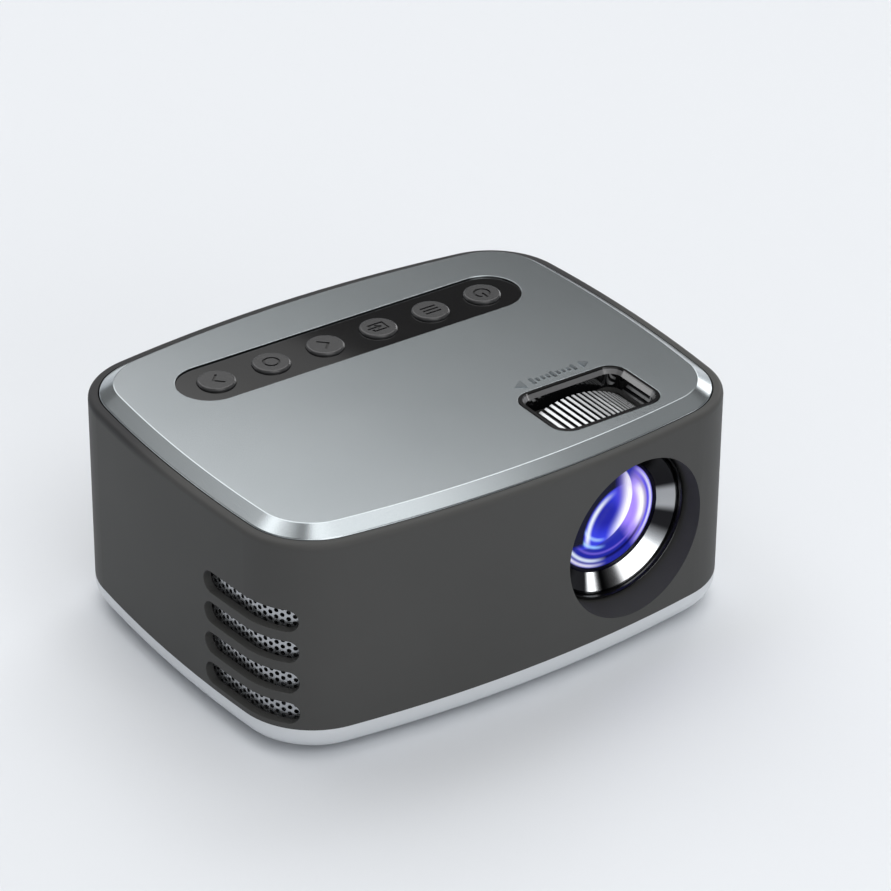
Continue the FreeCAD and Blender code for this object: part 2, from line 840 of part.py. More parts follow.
def tripod_bush():
    top = base_bottom + tripod_bush_length
    return tube(tripod_bush_radius, tripod_bore_radius, V(0, 0, base_bottom), V(0, 0, top))


def rubber_feet():
    feet = []
    for x in (-foot_x, foot_x):
        for y in (-foot_y, foot_y):
            foot = upright(foot_radius, x, y, 0, foot_height)
            feet.append(foot.makeFillet(min(0.5, foot_height / 3), edges_at(foot, 0)))
    return Part.makeCompound(feet)


# ---- Screws ---------------------------------------------------------------------------------
def screw(seat, way, radius, length, head_radius, head_height):
    """A cross-head screw: 'seat' is under its head, and 'way' points out of the head."""
    head = rod(head_radius, seat, seat + way * head_height)
    shank = rod(radius, seat - way * length, seat)
    side = way.cross(X_AXIS) if abs(way.dot(X_AXIS)) < 0.9 else way.cross(Y_AXIS)
    side.normalize()
    slots = []
    for arm in (side, side.cross(way)):
        block = Part.makeBox(head_radius * 1.2, head_radius * 0.28, head_height * 0.6)
        block.translate(V(-head_radius * 0.6, -head_radius * 0.14, 0))
        turn = FreeCAD.Rotation(arm, V(0, 0, 0), way, "ZXY")
        turned = FreeCAD.Placement(seat + way * (head_height * 0.55), turn)
        block.Placement = turned.multiply(block.Placement)
        slots.append(block)
    return head.fuse(shank).cut(slots)


def case_screw(x, y):
    return screw(V(x, y, case_screw_seat), V(0, 0, -1), case_screw_radius, case_screw_length,
                 case_screw_head_radius, case_screw_head_height)


def small_screw(seat, way):
    return screw(seat, way, small_screw_radius, small_screw_length, small_screw_head_radius,
                 small_screw_head_height)


def base_screws():
    return Part.makeCompound([case_screw(x, y) for x, y in boss_places()])


def key_board_screws():
    return Part.makeCompound([small_screw(V(x, panel_y, key_board_bottom), V(0, 0, -1))
                              for x in key_post_places])


def main_board_screws():
    return Part.makeCompound([small_screw(V(x, y, board_top), Z_AXIS) for x, y in board_posts])


def engine_screws():
    seat_z = engine_bottom + engine_ear_thickness
    return Part.makeCompound([small_screw(V(ear.x, ear.y, seat_z), Z_AXIS) for ear, _ in engine_ears])


# ---- Key board ------------------------------------------------------------------------------
def key_board():
    board = box((panel_x - key_board_length / 2, panel_x + key_board_length / 2),
                (panel_y - key_board_width / 2, panel_y + key_board_width / 2),
                (key_board_bottom, key_board_top))
    holes = [upright(small_screw_radius + screw_gap, x, panel_y, key_board_bottom - 1, key_board_top + 1)
             for x in key_post_places]
    return board.cut(holes)


def key_switches():
    """Six sprung switches; the button's stem presses the dome inside the round well."""
    reach = key_switch_size / 2
    switches = []
    for x in button_places:
        can = box((x - reach, x + reach), (panel_y - reach, panel_y + reach), (key_board_top, switch_top))
        well_floor = switch_top - key_plunger_depth - button_travel - 0.2
        well = upright(button_stem_radius + 0.2, x, panel_y, well_floor, switch_top + 1)
        switches.append(can.cut(well))
    return Part.makeCompound(switches)


# ---- Lens group -----------------------------------------------------------------------------
mount_inner = barrel_radius + running_gap
mount_outer = mount_inner + mount_tube_wall
ring_inner = mount_outer + running_gap
pin_tip = barrel_radius + pin_reach
pin_y = (ring_front_y + ring_back_y) / 2
focus_travel = focus_lead_per_radian * math.radians(focus_turn_deg)
pin_angles = [index * 360.0 / pin_count for index in range(pin_count)]
barrel_back_y = barrel_front_y + barrel_length
front_ring_back = barrel_front_y + front_ring_depth
front_rim_y = front_ring_back + lens_gap
front_lens_back = front_rim_y + front_lens_edge
middle_rim_y = front_lens_back + barrel_shoulder + middle_ledge_thickness
rear_rim_y = middle_rim_y + middle_lens_thickness + middle_rear_space
rear_lens_back = rear_rim_y + rear_lens_edge


def radial(angle_deg):
    """A unit vector square to the lens axis, turned about +Y from +X."""
    angle = math.radians(angle_deg)
    return V(math.cos(angle), 0, -math.sin(angle))


def radial_rod(radius, angle_deg, y, reach_low, reach_high):
    centre = V(lens_x, y, lens_z)
    way = radial(angle_deg)
    return rod(radius, centre + way * reach_low, centre + way * reach_high)


def sag(curve_radius, at_radius):
    return curve_radius - math.sqrt(curve_radius ** 2 - at_radius ** 2)


def helical_groove():
    """The slanted groove in the focus ring that drives the barrel pin on the +X side."""
    half_slot = pin_radius + groove_clearance
    depth_low, depth_high = ring_inner - 1.5, pin_tip + 0.3
    pitch = 2 * math.pi * focus_lead_per_radian
    middle = (depth_low + depth_high) / 2
    helix = Part.makeHelix(pitch, 2 * focus_travel, middle)
    section = polygon([V(depth_low, 0, -half_slot), V(depth_high, 0, -half_slot),
                       V(depth_high, 0, half_slot), V(depth_low, 0, half_slot)])
    groove = Part.Wire(helix.Edges).makePipeShell([section], True, True)
    groove.rotate(V(0, 0, 0), X_AXIS, -90)
    groove.rotate(V(0, 0, 0), Y_AXIS, -focus_turn_deg)
    groove.translate(V(lens_x, pin_y - focus_travel, lens_z))
    ends = [radial_rod(half_slot, side * focus_turn_deg, pin_y + side * focus_travel,
                       depth_low - 0.5, depth_high + 0.1) for side in (-1, 1)]
    return groove.multiFuse(ends)


def focus_ring():
    root = focus_ring_radius - focus_rib_height
    step = 2 * math.pi / focus_rib_count
    points = []
    for index in range(focus_rib_count):
        for share, radius in ((0.0, root), (0.3, root), (0.42, focus_ring_radius), (0.88, focus_ring_radius)):
            angle = (index + share) * step
            points.append(V(lens_x + radius * math.cos(angle), ring_front_y,
                            lens_z + radius * math.sin(angle)))
    blank = prism(polygon(points), V(0, focus_ring_length, 0))
    bore = lens_rod(ring_inner, ring_front_y - 1, ring_back_y + 1)
    ring = blank.cut(bore)
    first_groove = helical_groove()
    for angle in pin_angles:
        groove = first_groove.copy()
        groove.rotate(V(lens_x, 0, lens_z), Y_AXIS, angle)
        ring = ring.cut(groove)
    return ring


def lens_mount():
    """The fixed tube that the ring turns on and the barrel slides in."""
    flange_front = ring_back_y + focus_ring_gap
    sleeve = lens_rod(mount_outer, ring_front_y, flange_front + 0.5)
    flange = lens_rod(mount_flange_radius, flange_front, engine_front_y)
    room = box((lens_x - 40, lens_x + 40), (flange_front - 1, engine_front_y + 1), (0, deck_bottom - 0.3))
    cuts = [lens_rod(mount_inner, ring_front_y - 1, engine_front_y + 1)]
    half_slot = pin_radius + groove_clearance
    reach = focus_travel + 0.1
    for angle in pin_angles:
        cuts += [radial_rod(half_slot, angle, pin_y + side * reach, mount_inner - 3, mount_outer + 1)
                 for side in (-1, 1)]
        slot = Part.makeBox(mount_outer - mount_inner + 4, 2 * reach, 2 * half_slot,
                            V(mount_inner - 3, pin_y - reach, -half_slot))
        slot.rotate(V(0, 0, 0), Y_AXIS, angle)
        slot.translate(V(lens_x, 0, lens_z))
        cuts.append(slot)
    for place in mount_screw_places():
        cuts.append(rod(small_screw_radius + screw_gap, place, place + V(0, 20, 0)))
        cuts.append(rod(small_screw_head_radius + 0.05, V(place.x, flange_front - 1, place.z), place))
    return sleeve.fuse(flange.common(room)).removeSplitter().cut(cuts)


def mount_screw_places():
    """Four sunk seats for the screws that hold the mount to the light engine."""
    seat_y = ring_back_y + focus_ring_gap + small_screw_head_height + 0.2
    places = []
    for angle in (mount_screw_deg, 180 - mount_screw_deg, 180 + mount_screw_deg, -mount_screw_deg):
        way = radial(angle)
        places.append(V(lens_x + way.x * mount_screw_circle, seat_y, lens_z + way.z * mount_screw_circle))
    return places


def lens_mount_screws():
    return Part.makeCompound([small_screw(place, V(0, -1, 0)) for place in mount_screw_places()])


def lens_barrel():
    shoulder_radius = front_lens_radius - front_lens_ledge
    middle_seat_radius = middle_lens_radius - middle_lens_ledge
    ledge_front_y = middle_rim_y - middle_ledge_thickness
    profile = [
        (barrel_radius - barrel_edge, barrel_front_y), (barrel_radius, barrel_front_y + barrel_edge),
        (barrel_radius, barrel_back_y), (rear_lens_radius + lens_gap, barrel_back_y),
        (rear_lens_radius + lens_gap, rear_rim_y), (middle_lens_radius + lens_gap, rear_rim_y),
        (middle_lens_radius + lens_gap, middle_rim_y), (middle_seat_radius, middle_rim_y),
        (middle_seat_radius, ledge_front_y), (shoulder_radius, ledge_front_y),
        (shoulder_radius, front_lens_back), (front_lens_radius + lens_gap, front_lens_back),
        (front_lens_radius + lens_gap, front_ring_back), (front_ring_radius, front_ring_back),
        (front_ring_radius, barrel_front_y),
    ]
    holes = [radial_rod(pin_radius, angle, pin_y, barrel_radius - pin_socket, barrel_radius + 1)
             for angle in pin_angles]
    return revolve(profile).cut(holes)


def barrel_pins():
    return Part.makeCompound([radial_rod(pin_radius, angle, pin_y, barrel_radius - pin_socket, pin_tip)
                              for angle in pin_angles])


def lens_front_ring():
    """The gloss ring with a sloping inner face that holds the front lens in."""
    front = barrel_front_y + front_ring_setback
    glass_front_y = front_rim_y - sag(front_lens_curve, front_lens_radius)
    inner_back = glass_front_y + sag(front_lens_curve, front_ring_opening) - 2 * lens_gap
    profile = [
        (front_ring_radius - front_ring_round, front), (front_ring_radius, front + front_ring_round),
        (front_ring_radius, front_ring_back), (front_lens_radius, front_ring_back - lens_gap),
        (front_ring_opening, inner_back), (front_ring_opening, inner_back - front_ring_edge),
        (front_ring_radius - front_ring_lip, front),
    ]
    return revolve(profile)


def front_lens():
    back = lens_rod(front_lens_radius, front_rim_y - 10, front_lens_back)
    rim = V(lens_x, front_rim_y, lens_z)
    return back.common(cap_sphere(front_lens_curve, front_lens_radius, rim, V(0, -1, 0)))


def middle_lens():
    """A lens hollowed on both sides."""
    back = middle_rim_y + middle_lens_thickness
    body = lens_rod(middle_lens_radius, middle_rim_y, back)
    inner = middle_lens_radius - middle_lens_rim
    front_ball = cap_sphere(middle_lens_curve, inner, V(lens_x, middle_rim_y, lens_z), Y_AXIS)
    back_ball = cap_sphere(middle_lens_curve, inner, V(lens_x, back, lens_z), V(0, -1, 0))
    return body.cut([front_ball, back_ball])


def rear_lens():
    body = lens_rod(rear_lens_radius, rear_rim_y, rear_lens_back + 10)
    inner = rear_lens_radius - rear_lens_flat
    rim = V(lens_x, rear_lens_back, lens_z)
    ball = cap_sphere(rear_lens_curve, inner, rim, Y_AXIS)
    rim_part = lens_rod(rear_lens_radius, rear_rim_y, rear_lens_back)
    dome = lens_rod(inner, rear_rim_y, rear_lens_back + 10).common(ball)
    return body.common(rim_part).fuse(dome).removeSplitter()


def rear_lens_ring():
    inner = rear_lens_radius - rear_lens_rim
    start, end = V(lens_x, rear_lens_back, lens_z), V(lens_x, barrel_back_y, lens_z)
    return tube(rear_lens_radius, inner, start, end)


# ---- Light engine ---------------------------------------------------------------------------
def channel_wire(z):
    """The inside of the light channel in plan, with the slanted wall that carries the mirror."""
    return polygon([V(channel_left_x, channel_low_y, z), V(channel_right_x, channel_low_y, z),
                    V(channel_right_x, back_sum - channel_right_x, z),
                    V(back_sum - channel_high_y, channel_high_y, z), V(channel_left_x, channel_high_y, z)])


def engine_outer(z_low, z_high):
    walls = channel_wire(z_low).makeOffset2D(engine_wall, 2)
    body = prism(walls, V(0, 0, z_high - z_low))
    end = box((engine_left_x, channel_left_x), (engine_front_y, engine_back_y), (z_low, z_high))
    return body.fuse(end).removeSplitter()


def panes():
    """Where each flat pane stands in the channel: its near face and its thickness."""
    return {
        "fresnel_rear": (fresnel_rear_x, fresnel_thickness),
        "heat_glass": (heat_glass_x, heat_glass_thickness),
        "lcd_panel": (lcd_x, lcd_thickness),
        "fresnel_front": (fresnel_front_x, fresnel_thickness),
    }


def pane(name):
    x, thickness = panes()[name]
    reach = pane_groove - pane_gap
    return box((x, x + thickness), (channel_low_y - reach, channel_high_y + reach),
               (engine_bottom + engine_floor, engine_lid_bottom - pane_gap))


def lid_screw_places():
    x = channel_left_x - engine_end_wall / 2
    return [V(x, engine_y + side * (channel_width / 2 - lid_screw_inset), engine_top) for side in (-1, 1)]


def optical_box():
    body = engine_outer(engine_bottom, engine_lid_bottom)
    floor_top = engine_bottom + engine_floor
    room = prism(channel_wire(floor_top), V(0, 0, channel_height + 1))
    cuts = [room, lens_rod(engine_light_radius, engine_front_y - 1, channel_low_y + 1)]
    for x, thickness in panes().values():
        cuts.append(box((x - pane_gap / 2, x + thickness + pane_gap / 2),
                        (channel_low_y - pane_groove, channel_high_y + pane_groove),
                        (floor_top, engine_lid_bottom + 1)))
    cuts.append(rod(condenser_radius + lens_gap, V(engine_left_x - 1, engine_y, lens_z),
                    V(channel_left_x + 1, engine_y, lens_z)))
    mount_reach = V(0, small_screw_length, 0)
    sink_reach = V(small_screw_length * 2, 0, 0)
    cuts += [rod(small_screw_radius, place, place + mount_reach) for place in mount_screw_places()]
    cuts += [rod(small_screw_radius, place, place + sink_reach) for place in sink_screw_places()]
    cuts += [upright(small_screw_radius, place.x, place.y, engine_lid_bottom - 5, engine_lid_bottom + 1)
             for place in lid_screw_places()]
    added = []
    for place, wall_deg in engine_ears:
        disc = upright(engine_ear_radius, place.x, place.y,
                       engine_bottom, engine_bottom + engine_ear_thickness)
        arm = box((0, ear_reach + engine_wall / 2), (-engine_ear_radius, engine_ear_radius),
                  (engine_bottom, engine_bottom + engine_ear_thickness))
        arm.rotate(V(0, 0, 0), Z_AXIS, wall_deg)
        arm.translate(V(place.x, place.y, 0))
        added += [disc, arm]
        cuts.append(upright(small_screw_radius + screw_gap, place.x, place.y, engine_bottom - 1,
                            engine_bottom + engine_ear_thickness + 1))
    return body.multiFuse(added).cut(cuts)


def optical_box_lid():
    lid = engine_outer(engine_lid_bottom, engine_top)
    holes = [upright(small_screw_radius + screw_gap, place.x, place.y, engine_lid_bottom - 1, engine_top + 1)
             for place in lid_screw_places()]
    return lid.cut(holes)


def lid_screws():
    return Part.makeCompound([small_screw(place, Z_AXIS) for place in lid_screw_places()])


def fold_mirror():
    """The mirror lies flat against the slanted wall and turns the light towards the lens."""
    length = (channel_right_x - (back_sum - channel_high_y)) * math.sqrt(2) - 2 * mirror_margin
    glass = Part.makeBox(length, mirror_thickness, channel_height - pane_gap,
                         V(-length / 2, -mirror_thickness, 0))
    glass.rotate(V(0, 0, 0), Z_AXIS, -45)
    middle_x = (channel_right_x + back_sum - channel_high_y) / 2
    glass.translate(V(middle_x, back_sum - middle_x, engine_bottom + engine_floor))
    return glass


led_board_x = engine_left_x - led_board_thickness
sink_x = led_board_x - sink_plate


def condenser_lens():
    """A plano-convex lens set in the end wall, with its curved side towards the channel."""
    flat_x = engine_left_x + led_height + condenser_gap
    rim = V(flat_x + condenser_edge, engine_y, lens_z)
    body = rod(condenser_radius, V(flat_x, engine_y, lens_z), rim + V(20, 0, 0))
    return body.common(cap_sphere(condenser_curve, condenser_radius, rim, X_AXIS))


def led_board():
    board = box((led_board_x, engine_left_x), (engine_y - sink_width / 2, engine_y + sink_width / 2),
                (lens_z - sink_height / 2, lens_z + sink_height / 2))
    return board.cut(sink_screw_holes())


def led_emitter():
    reach = led_size / 2
    base = box((engine_left_x, engine_left_x + led_base_height), (engine_y - reach, engine_y + reach),
               (lens_z - reach, lens_z + reach))
    foot = V(engine_left_x, engine_y, lens_z)
    dome = rod(led_dome_radius, foot, foot + V(led_height, 0, 0))
    return base.fuse(dome).removeSplitter()


def sink_screw_places():
    reach = (sink_width + fin_width) / 4
    return [V(sink_x, engine_y + side * reach, lens_z) for side in (-1, 1)]


def sink_screw_holes():
    return [rod(small_screw_radius + screw_gap, place - V(1, 0, 0), place + V(sink_plate + 5, 0, 0))
            for place in sink_screw_places()]


def heat_sink():
    plate = box((sink_x, led_board_x), (engine_y - sink_width / 2, engine_y + sink_width / 2),
                (lens_z - sink_height / 2, lens_z + sink_height / 2))
    pitch = (sink_height - fin_thickness) / (fin_count - 1)
    bottom = lens_z - sink_height / 2
    fins = [box((led_board_x - sink_depth, sink_x + fin_bite),
                (engine_y - fin_width / 2, engine_y + fin_width / 2),
                (bottom + row * pitch, bottom + row * pitch + fin_thickness))
            for row in range(fin_count)]
    return plate.multiFuse(fins).cut(sink_screw_holes())


def heat_sink_screws():
    length = sink_plate + led_board_thickness + engine_end_wall - 1
    return Part.makeCompound([screw(place, V(-1, 0, 0), small_screw_radius, length,
                                    small_screw_head_radius, small_screw_head_height)
                              for place in sink_screw_places()])


# ---- Fan ------------------------------------------------------------------------------------
def fan_rod(radius, y_low, y_high):
    return rod(radius, V(fan_x, y_low, lens_z), V(fan_x, y_high, lens_z))


def fan_frame():
    half = fan_size / 2
    block = box((fan_x - half, fan_x + half), (fan_front_y, fan_back_y), (lens_z - half, lens_z + half))
    upright_edges = [edge for edge in block.Edges if edge.BoundBox.YLength > fan_depth - 0.1]
    block = block.makeFillet(fan_corner_radius, upright_edges)
    ring = block.cut(fan_rod(fan_bore_radius, fan_front_y - 1, fan_back_y + 1))
    plate_low = fan_back_y - fan_back_thickness
    added = [fan_rod(fan_hub_radius, plate_low, fan_back_y),
             fan_rod(fan_shaft_radius + fan_tube_wall, fan_back_y - fan_depth * 0.7, fan_back_y)]
    for angle in (45, 135, 225, 315):
        arm = Part.makeBox(fan_bore_radius + 0.5, fan_back_thickness, fan_arm_width,
                           V(0, plate_low, -fan_arm_width / 2))
        arm.rotate(V(0, 0, 0), Y_AXIS, angle)
        arm.translate(V(fan_x, 0, lens_z))
        added.append(arm)
    bore = fan_rod(fan_shaft_radius + fan_shaft_gap, fan_front_y - 1, fan_back_y - fan_end_gap)
    return ring.multiFuse(added).cut(bore)


def fan_rotor():
    """A cup-shaped hub on a shaft, with tilted blades around it."""
    front = fan_front_y + fan_end_gap
    cup_back = fan_back_y - fan_back_thickness - fan_end_gap
    cup = fan_rod(fan_hub_radius, front, cup_back)
    hollow = fan_rod(fan_hub_radius - fan_cup_wall, front + fan_cup_front, cup_back + 1)
    shaft = fan_rod(fan_shaft_radius, front + 0.5, fan_back_y - 0.8)
    tip_radius = fan_bore_radius - fan_blade_gap
    chord = (cup_back - front - 0.6) / math.cos(math.radians(fan_blade_pitch_deg))
    span = tip_radius - fan_hub_radius + 1.5
    zone = fan_rod(tip_radius, front + 0.2, cup_back - 0.2).cut(
        fan_rod(fan_hub_radius - 0.4, front - 1, cup_back + 1))
    blades = []
    for index in range(fan_blade_count):
        blade = Part.makeBox(span + 1, chord, fan_blade_thickness,
                             V(fan_hub_radius - 1, -chord / 2, -fan_blade_thickness / 2))
        blade.rotate(V(0, 0, 0), X_AXIS, fan_blade_pitch_deg)
        blade.rotate(V(0, 0, 0), Y_AXIS, index * 360.0 / fan_blade_count)
        blade.translate(V(fan_x, (front + cup_back) / 2, lens_z))
        blades.append(blade.common(zone))
    return cup.cut(hollow).multiFuse([shaft] + blades)


# ---- Loudspeaker ----------------------------------------------------------------------------
speaker_front_x = side_x(abs(speaker_y) + speaker_radius, shell_wall) - 0.1


def speaker_rod(radius, back, front):
    """A round piece on the loudspeaker's axis; depths count inwards from its front."""
    return rod(radius, V(speaker_front_x - back, speaker_y, speaker_z),
               V(speaker_front_x - front, speaker_y, speaker_z))


def speaker_basket():
    inner = speaker_radius - speaker_lip_width
    outer = speaker_radius - speaker_can_step
    rim = speaker_rod(speaker_radius, speaker_lip, 0).cut(speaker_rod(inner, speaker_lip + 1, -1))
    can = speaker_rod(outer, speaker_depth, speaker_lip / 2)
    wall = can.cut(speaker_rod(inner, speaker_depth - speaker_can_back, 0))
    hole = speaker_rod(speaker_coil_radius, speaker_depth + 1, 0)
    return rim.fuse(wall).removeSplitter().cut(hole)


def speaker_cone():
    """A shallow paper cone with a dome, resting on the basket's inner wall."""
    outer = speaker_radius - speaker_rim
    inner = speaker_coil_radius
    axis = V(-1, 0, 0)
    start = V(speaker_front_x - speaker_cone_inset, speaker_y, speaker_z)
    solid = Part.makeCone(outer, inner, speaker_cone_depth, start, axis)
    hollow = Part.makeCone(outer - cone_wall, inner - cone_wall, speaker_cone_depth,
                           start - axis * cone_wall, axis)
    return solid.cut(hollow)


def speaker_magnet():
    return speaker_rod(speaker_magnet_radius, speaker_depth + speaker_magnet_depth, speaker_depth)


# ---- Main board and what stands on it -------------------------------------------------------
def main_board():
    board = box((-board_half_width, board_half_width), (board_front_y, board_back_y), (board_z, board_top))
    holes = [upright(small_screw_radius + screw_gap, x, y, board_z - 1, board_top + 1)
             for x, y in board_posts]
    holes += [upright(post_radius + 0.6, ear.x, ear.y, board_z - 1, board_top + 1)
              for ear, _ in engine_ears if ear.y > board_front_y]
    return board.cut(holes)


def main_chips():
    """The processor, its memory, the lamp driver and the regulator, from the middle outwards."""
    row_y = board_front_y + processor_size * 0.8
    processor_x = -processor_size * 1.15
    memory_x = processor_x + (processor_size + memory_size) * 0.87
    driver_x = memory_x + (memory_size + driver_size) * 0.76
    regulator_x = processor_x - (processor_size + regulator_size) * 0.85
    chips = []
    for x, size in ((processor_x, processor_size), (memory_x, memory_size), (driver_x, driver_size),
                    (regulator_x, regulator_size)):
        chips.append(box((x - size / 2, x + size / 2), (row_y - size / 2, row_y + size / 2),
                         (board_top, board_top + chip_height)))
    return Part.makeCompound(chips)


def capacitors():
    cans = []
    right_x = board_half_width - capacitor_radius * 4
    left_x = right_x - capacitor_radius * 2.3
    right_y = board_front_y + capacitor_radius * 5.2
    left_y = board_front_y + capacitor_radius * 6
    for x, y in ((right_x, right_y), (left_x, left_y)):
        can = upright(capacitor_radius, x, y, board_top, board_top + capacitor_height)
        cans.append(can.makeFillet(capacitor_edge, edges_at(can, board_top + capacitor_height)))
    return Part.makeCompound(cans)


def sheet_socket(x, width, height, depth, tongue_low, tongue_high, tongue_width):
    """A folded sheet-metal socket with a contact tongue, lying on the main board."""
    mouth = back_y(x) - socket_recess
    can = box((x - width / 2, x + width / 2), (mouth - depth, mouth), (board_top, board_top + height))
    inside = box((x - width / 2 + socket_sheet, x + width / 2 - socket_sheet),
                 (mouth - depth + socket_back, mouth + 1),
                 (board_top + socket_sheet, board_top + height - socket_sheet))
    tongue = box((x - tongue_width / 2, x + tongue_width / 2), (mouth - depth + 1, mouth - 1.5),
                 (board_top + tongue_low, board_top + tongue_high))
    return can.cut(inside).fuse(tongue)


def hdmi_socket():
    low = hdmi_height / 2 - 0.6
    return sheet_socket(hdmi_x, hdmi_width, hdmi_height, hdmi_depth, low, low + 1.2, hdmi_width - 3.5)


def usb_socket():
    low = usb_height - 2.9
    return sheet_socket(usb_x, usb_width, usb_height, usb_depth, low, low + 1.8, usb_width - 2.2)


def card_socket():
    return sheet_socket(card_x, card_width, card_height, card_depth, 0.2, 0.5, card_width - 2.0)


def jack(x):
    """A round plug jack: a moulded block with a nose that fills the hole in the back wall."""
    mouth = back_y(x) - socket_recess
    z = board_top + jack_height / 2
    block = box((x - jack_width / 2, x + jack_width / 2), (mouth - jack_depth, mouth - 1.6),
                (board_top, board_top + jack_height))
    nose = rod(jack_height / 2 - 0.1, V(x, mouth - 2, z), V(x, mouth, z))
    bore = rod(jack_bore_radius, V(x, mouth - jack_depth + 1.5, z), V(x, mouth + 1, z))
    return block.fuse(nose).cut(bore)


def power_jack():
    mouth = back_y(power_jack_x) - socket_recess
    z = board_top + power_jack_size / 2
    half = power_jack_size / 2
    back = mouth - power_jack_depth
    block = box((power_jack_x - half, power_jack_x + half), (back, mouth - 1.6),
                (board_top, board_top + power_jack_size))
    nose = rod(power_jack_bore_radius + 0.3, V(power_jack_x, mouth - 2, z), V(power_jack_x, mouth, z))
    bore = rod(power_jack_bore_radius, V(power_jack_x, back + 2, z), V(power_jack_x, mouth + 1, z))
    pin = rod(power_jack_pin_radius, V(power_jack_x, back + 1, z), V(power_jack_x, mouth - 1, z))
    return block.fuse(nose).cut(bore).fuse(pin)


def ir_window():
    """A dark round window pushed through the back wall from inside, with a flange."""
    inner_face = back_y(ir_x, shell_wall)
    lens = rod(ir_window_radius - 0.05, V(ir_x, inner_face - 0.1, ir_z), V(ir_x, back_y(ir_x), ir_z))
    flange = rod(ir_window_radius + 1.2, V(ir_x, inner_face - 1.1, ir_z), V(ir_x, inner_face - 0.1, ir_z))
    return lens.fuse(flange).removeSplitter()


def ir_receiver():
    """The receiver's body behind the window, on three wire legs from the main board."""
    front = back_y(ir_x, shell_wall) - 1.3
    low_z = ir_z - ir_body_height / 2
    half = ir_leg_width / 2
    leg_y = front - ir_body_depth + ir_leg_width
    body = box((ir_x - ir_body_width / 2, ir_x + ir_body_width / 2), (front - ir_body_depth, front),
               (low_z, low_z + ir_body_height))
    legs = [box((ir_x + side * ir_leg_pitch - half, ir_x + side * ir_leg_pitch + half),
                (leg_y - half, leg_y + half), (board_top, low_z + 0.1)) for side in (-1, 0, 1)]
    return body.multiFuse(legs)


# ---- Write one file for each piece ----------------------------------------------------------
pieces = {
    "housing_shell": housing_shell,
    "top_plate": top_plate,
    "base_cover": base_cover,
    "button_panel": button_panel,
    "focus_window_bezel": focus_window_bezel,
    "vent_mesh_left": vent_mesh,
    "vent_mesh_right": lambda: half_turn(vent_mesh()),
    "rubber_feet": rubber_feet,
    "base_screws": base_screws,
    "tripod_bush": tripod_bush,
    "key_board": key_board,
    "key_switches": key_switches,
    "key_board_screws": key_board_screws,
    "lens_mount": lens_mount,
    "lens_mount_screws": lens_mount_screws,
    "focus_ring": focus_ring,
    "lens_barrel": lens_barrel,
    "barrel_pins": barrel_pins,
    "lens_front_ring": lens_front_ring,
    "front_lens": front_lens,
    "middle_lens": middle_lens,
    "rear_lens": rear_lens,
    "rear_lens_ring": rear_lens_ring,
    "optical_box": optical_box,
    "optical_box_lid": optical_box_lid,
    "lid_screws": lid_screws,
    "optical_box_screws": engine_screws,
    "fresnel_rear": lambda: pane("fresnel_rear"),
    "heat_glass": lambda: pane("heat_glass"),
    "lcd_panel": lambda: pane("lcd_panel"),
    "fresnel_front": lambda: pane("fresnel_front"),
    "fold_mirror": fold_mirror,
    "condenser_lens": condenser_lens,
    "led_board": led_board,
    "led_emitter": led_emitter,
    "heat_sink": heat_sink,
    "heat_sink_screws": heat_sink_screws,
    "fan_frame": fan_frame,
    "fan_rotor": fan_rotor,
    "speaker_basket": speaker_basket,
    "speaker_cone": speaker_cone,
    "speaker_magnet": speaker_magnet,
    "main_board": main_board,
    "main_board_screws": main_board_screws,
    "main_chips": main_chips,
    "capacitors": capacitors,
    "hdmi_socket": hdmi_socket,
    "usb_socket": usb_socket,
    "card_socket": card_socket,
    "av_jack": lambda: jack(av_jack_x),
    "headphone_jack": lambda: jack(headphone_jack_x),
    "power_jack": power_jack,
    "ir_window": ir_window,
    "ir_receiver": ir_receiver,
}
for button_name in button_names:
    pieces["button_" + button_name] = lambda name=button_name: button(name)

os.makedirs("parts", exist_ok=True)
for piece_name, make_piece in pieces.items():
    make_piece().exportStep("parts/" + piece_name + ".step")
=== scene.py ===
import math

import bmesh
import bpy
from mathutils import Matrix, Vector
from mathutils.geometry import tessellate_polygon


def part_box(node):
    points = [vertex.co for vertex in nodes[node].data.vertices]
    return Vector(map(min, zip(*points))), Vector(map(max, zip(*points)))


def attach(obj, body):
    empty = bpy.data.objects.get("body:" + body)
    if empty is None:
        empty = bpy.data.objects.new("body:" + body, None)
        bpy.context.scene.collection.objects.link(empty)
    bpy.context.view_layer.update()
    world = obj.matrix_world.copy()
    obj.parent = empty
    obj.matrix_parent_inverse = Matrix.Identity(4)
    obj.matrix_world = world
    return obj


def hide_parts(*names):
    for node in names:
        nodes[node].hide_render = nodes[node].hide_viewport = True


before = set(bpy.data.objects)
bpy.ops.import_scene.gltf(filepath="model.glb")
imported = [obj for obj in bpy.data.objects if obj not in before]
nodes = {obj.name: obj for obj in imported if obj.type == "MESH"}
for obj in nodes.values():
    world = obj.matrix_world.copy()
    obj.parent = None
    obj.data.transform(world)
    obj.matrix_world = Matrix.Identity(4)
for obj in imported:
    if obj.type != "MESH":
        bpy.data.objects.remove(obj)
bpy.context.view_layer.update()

scene = bpy.context.scene
MM = 0.001


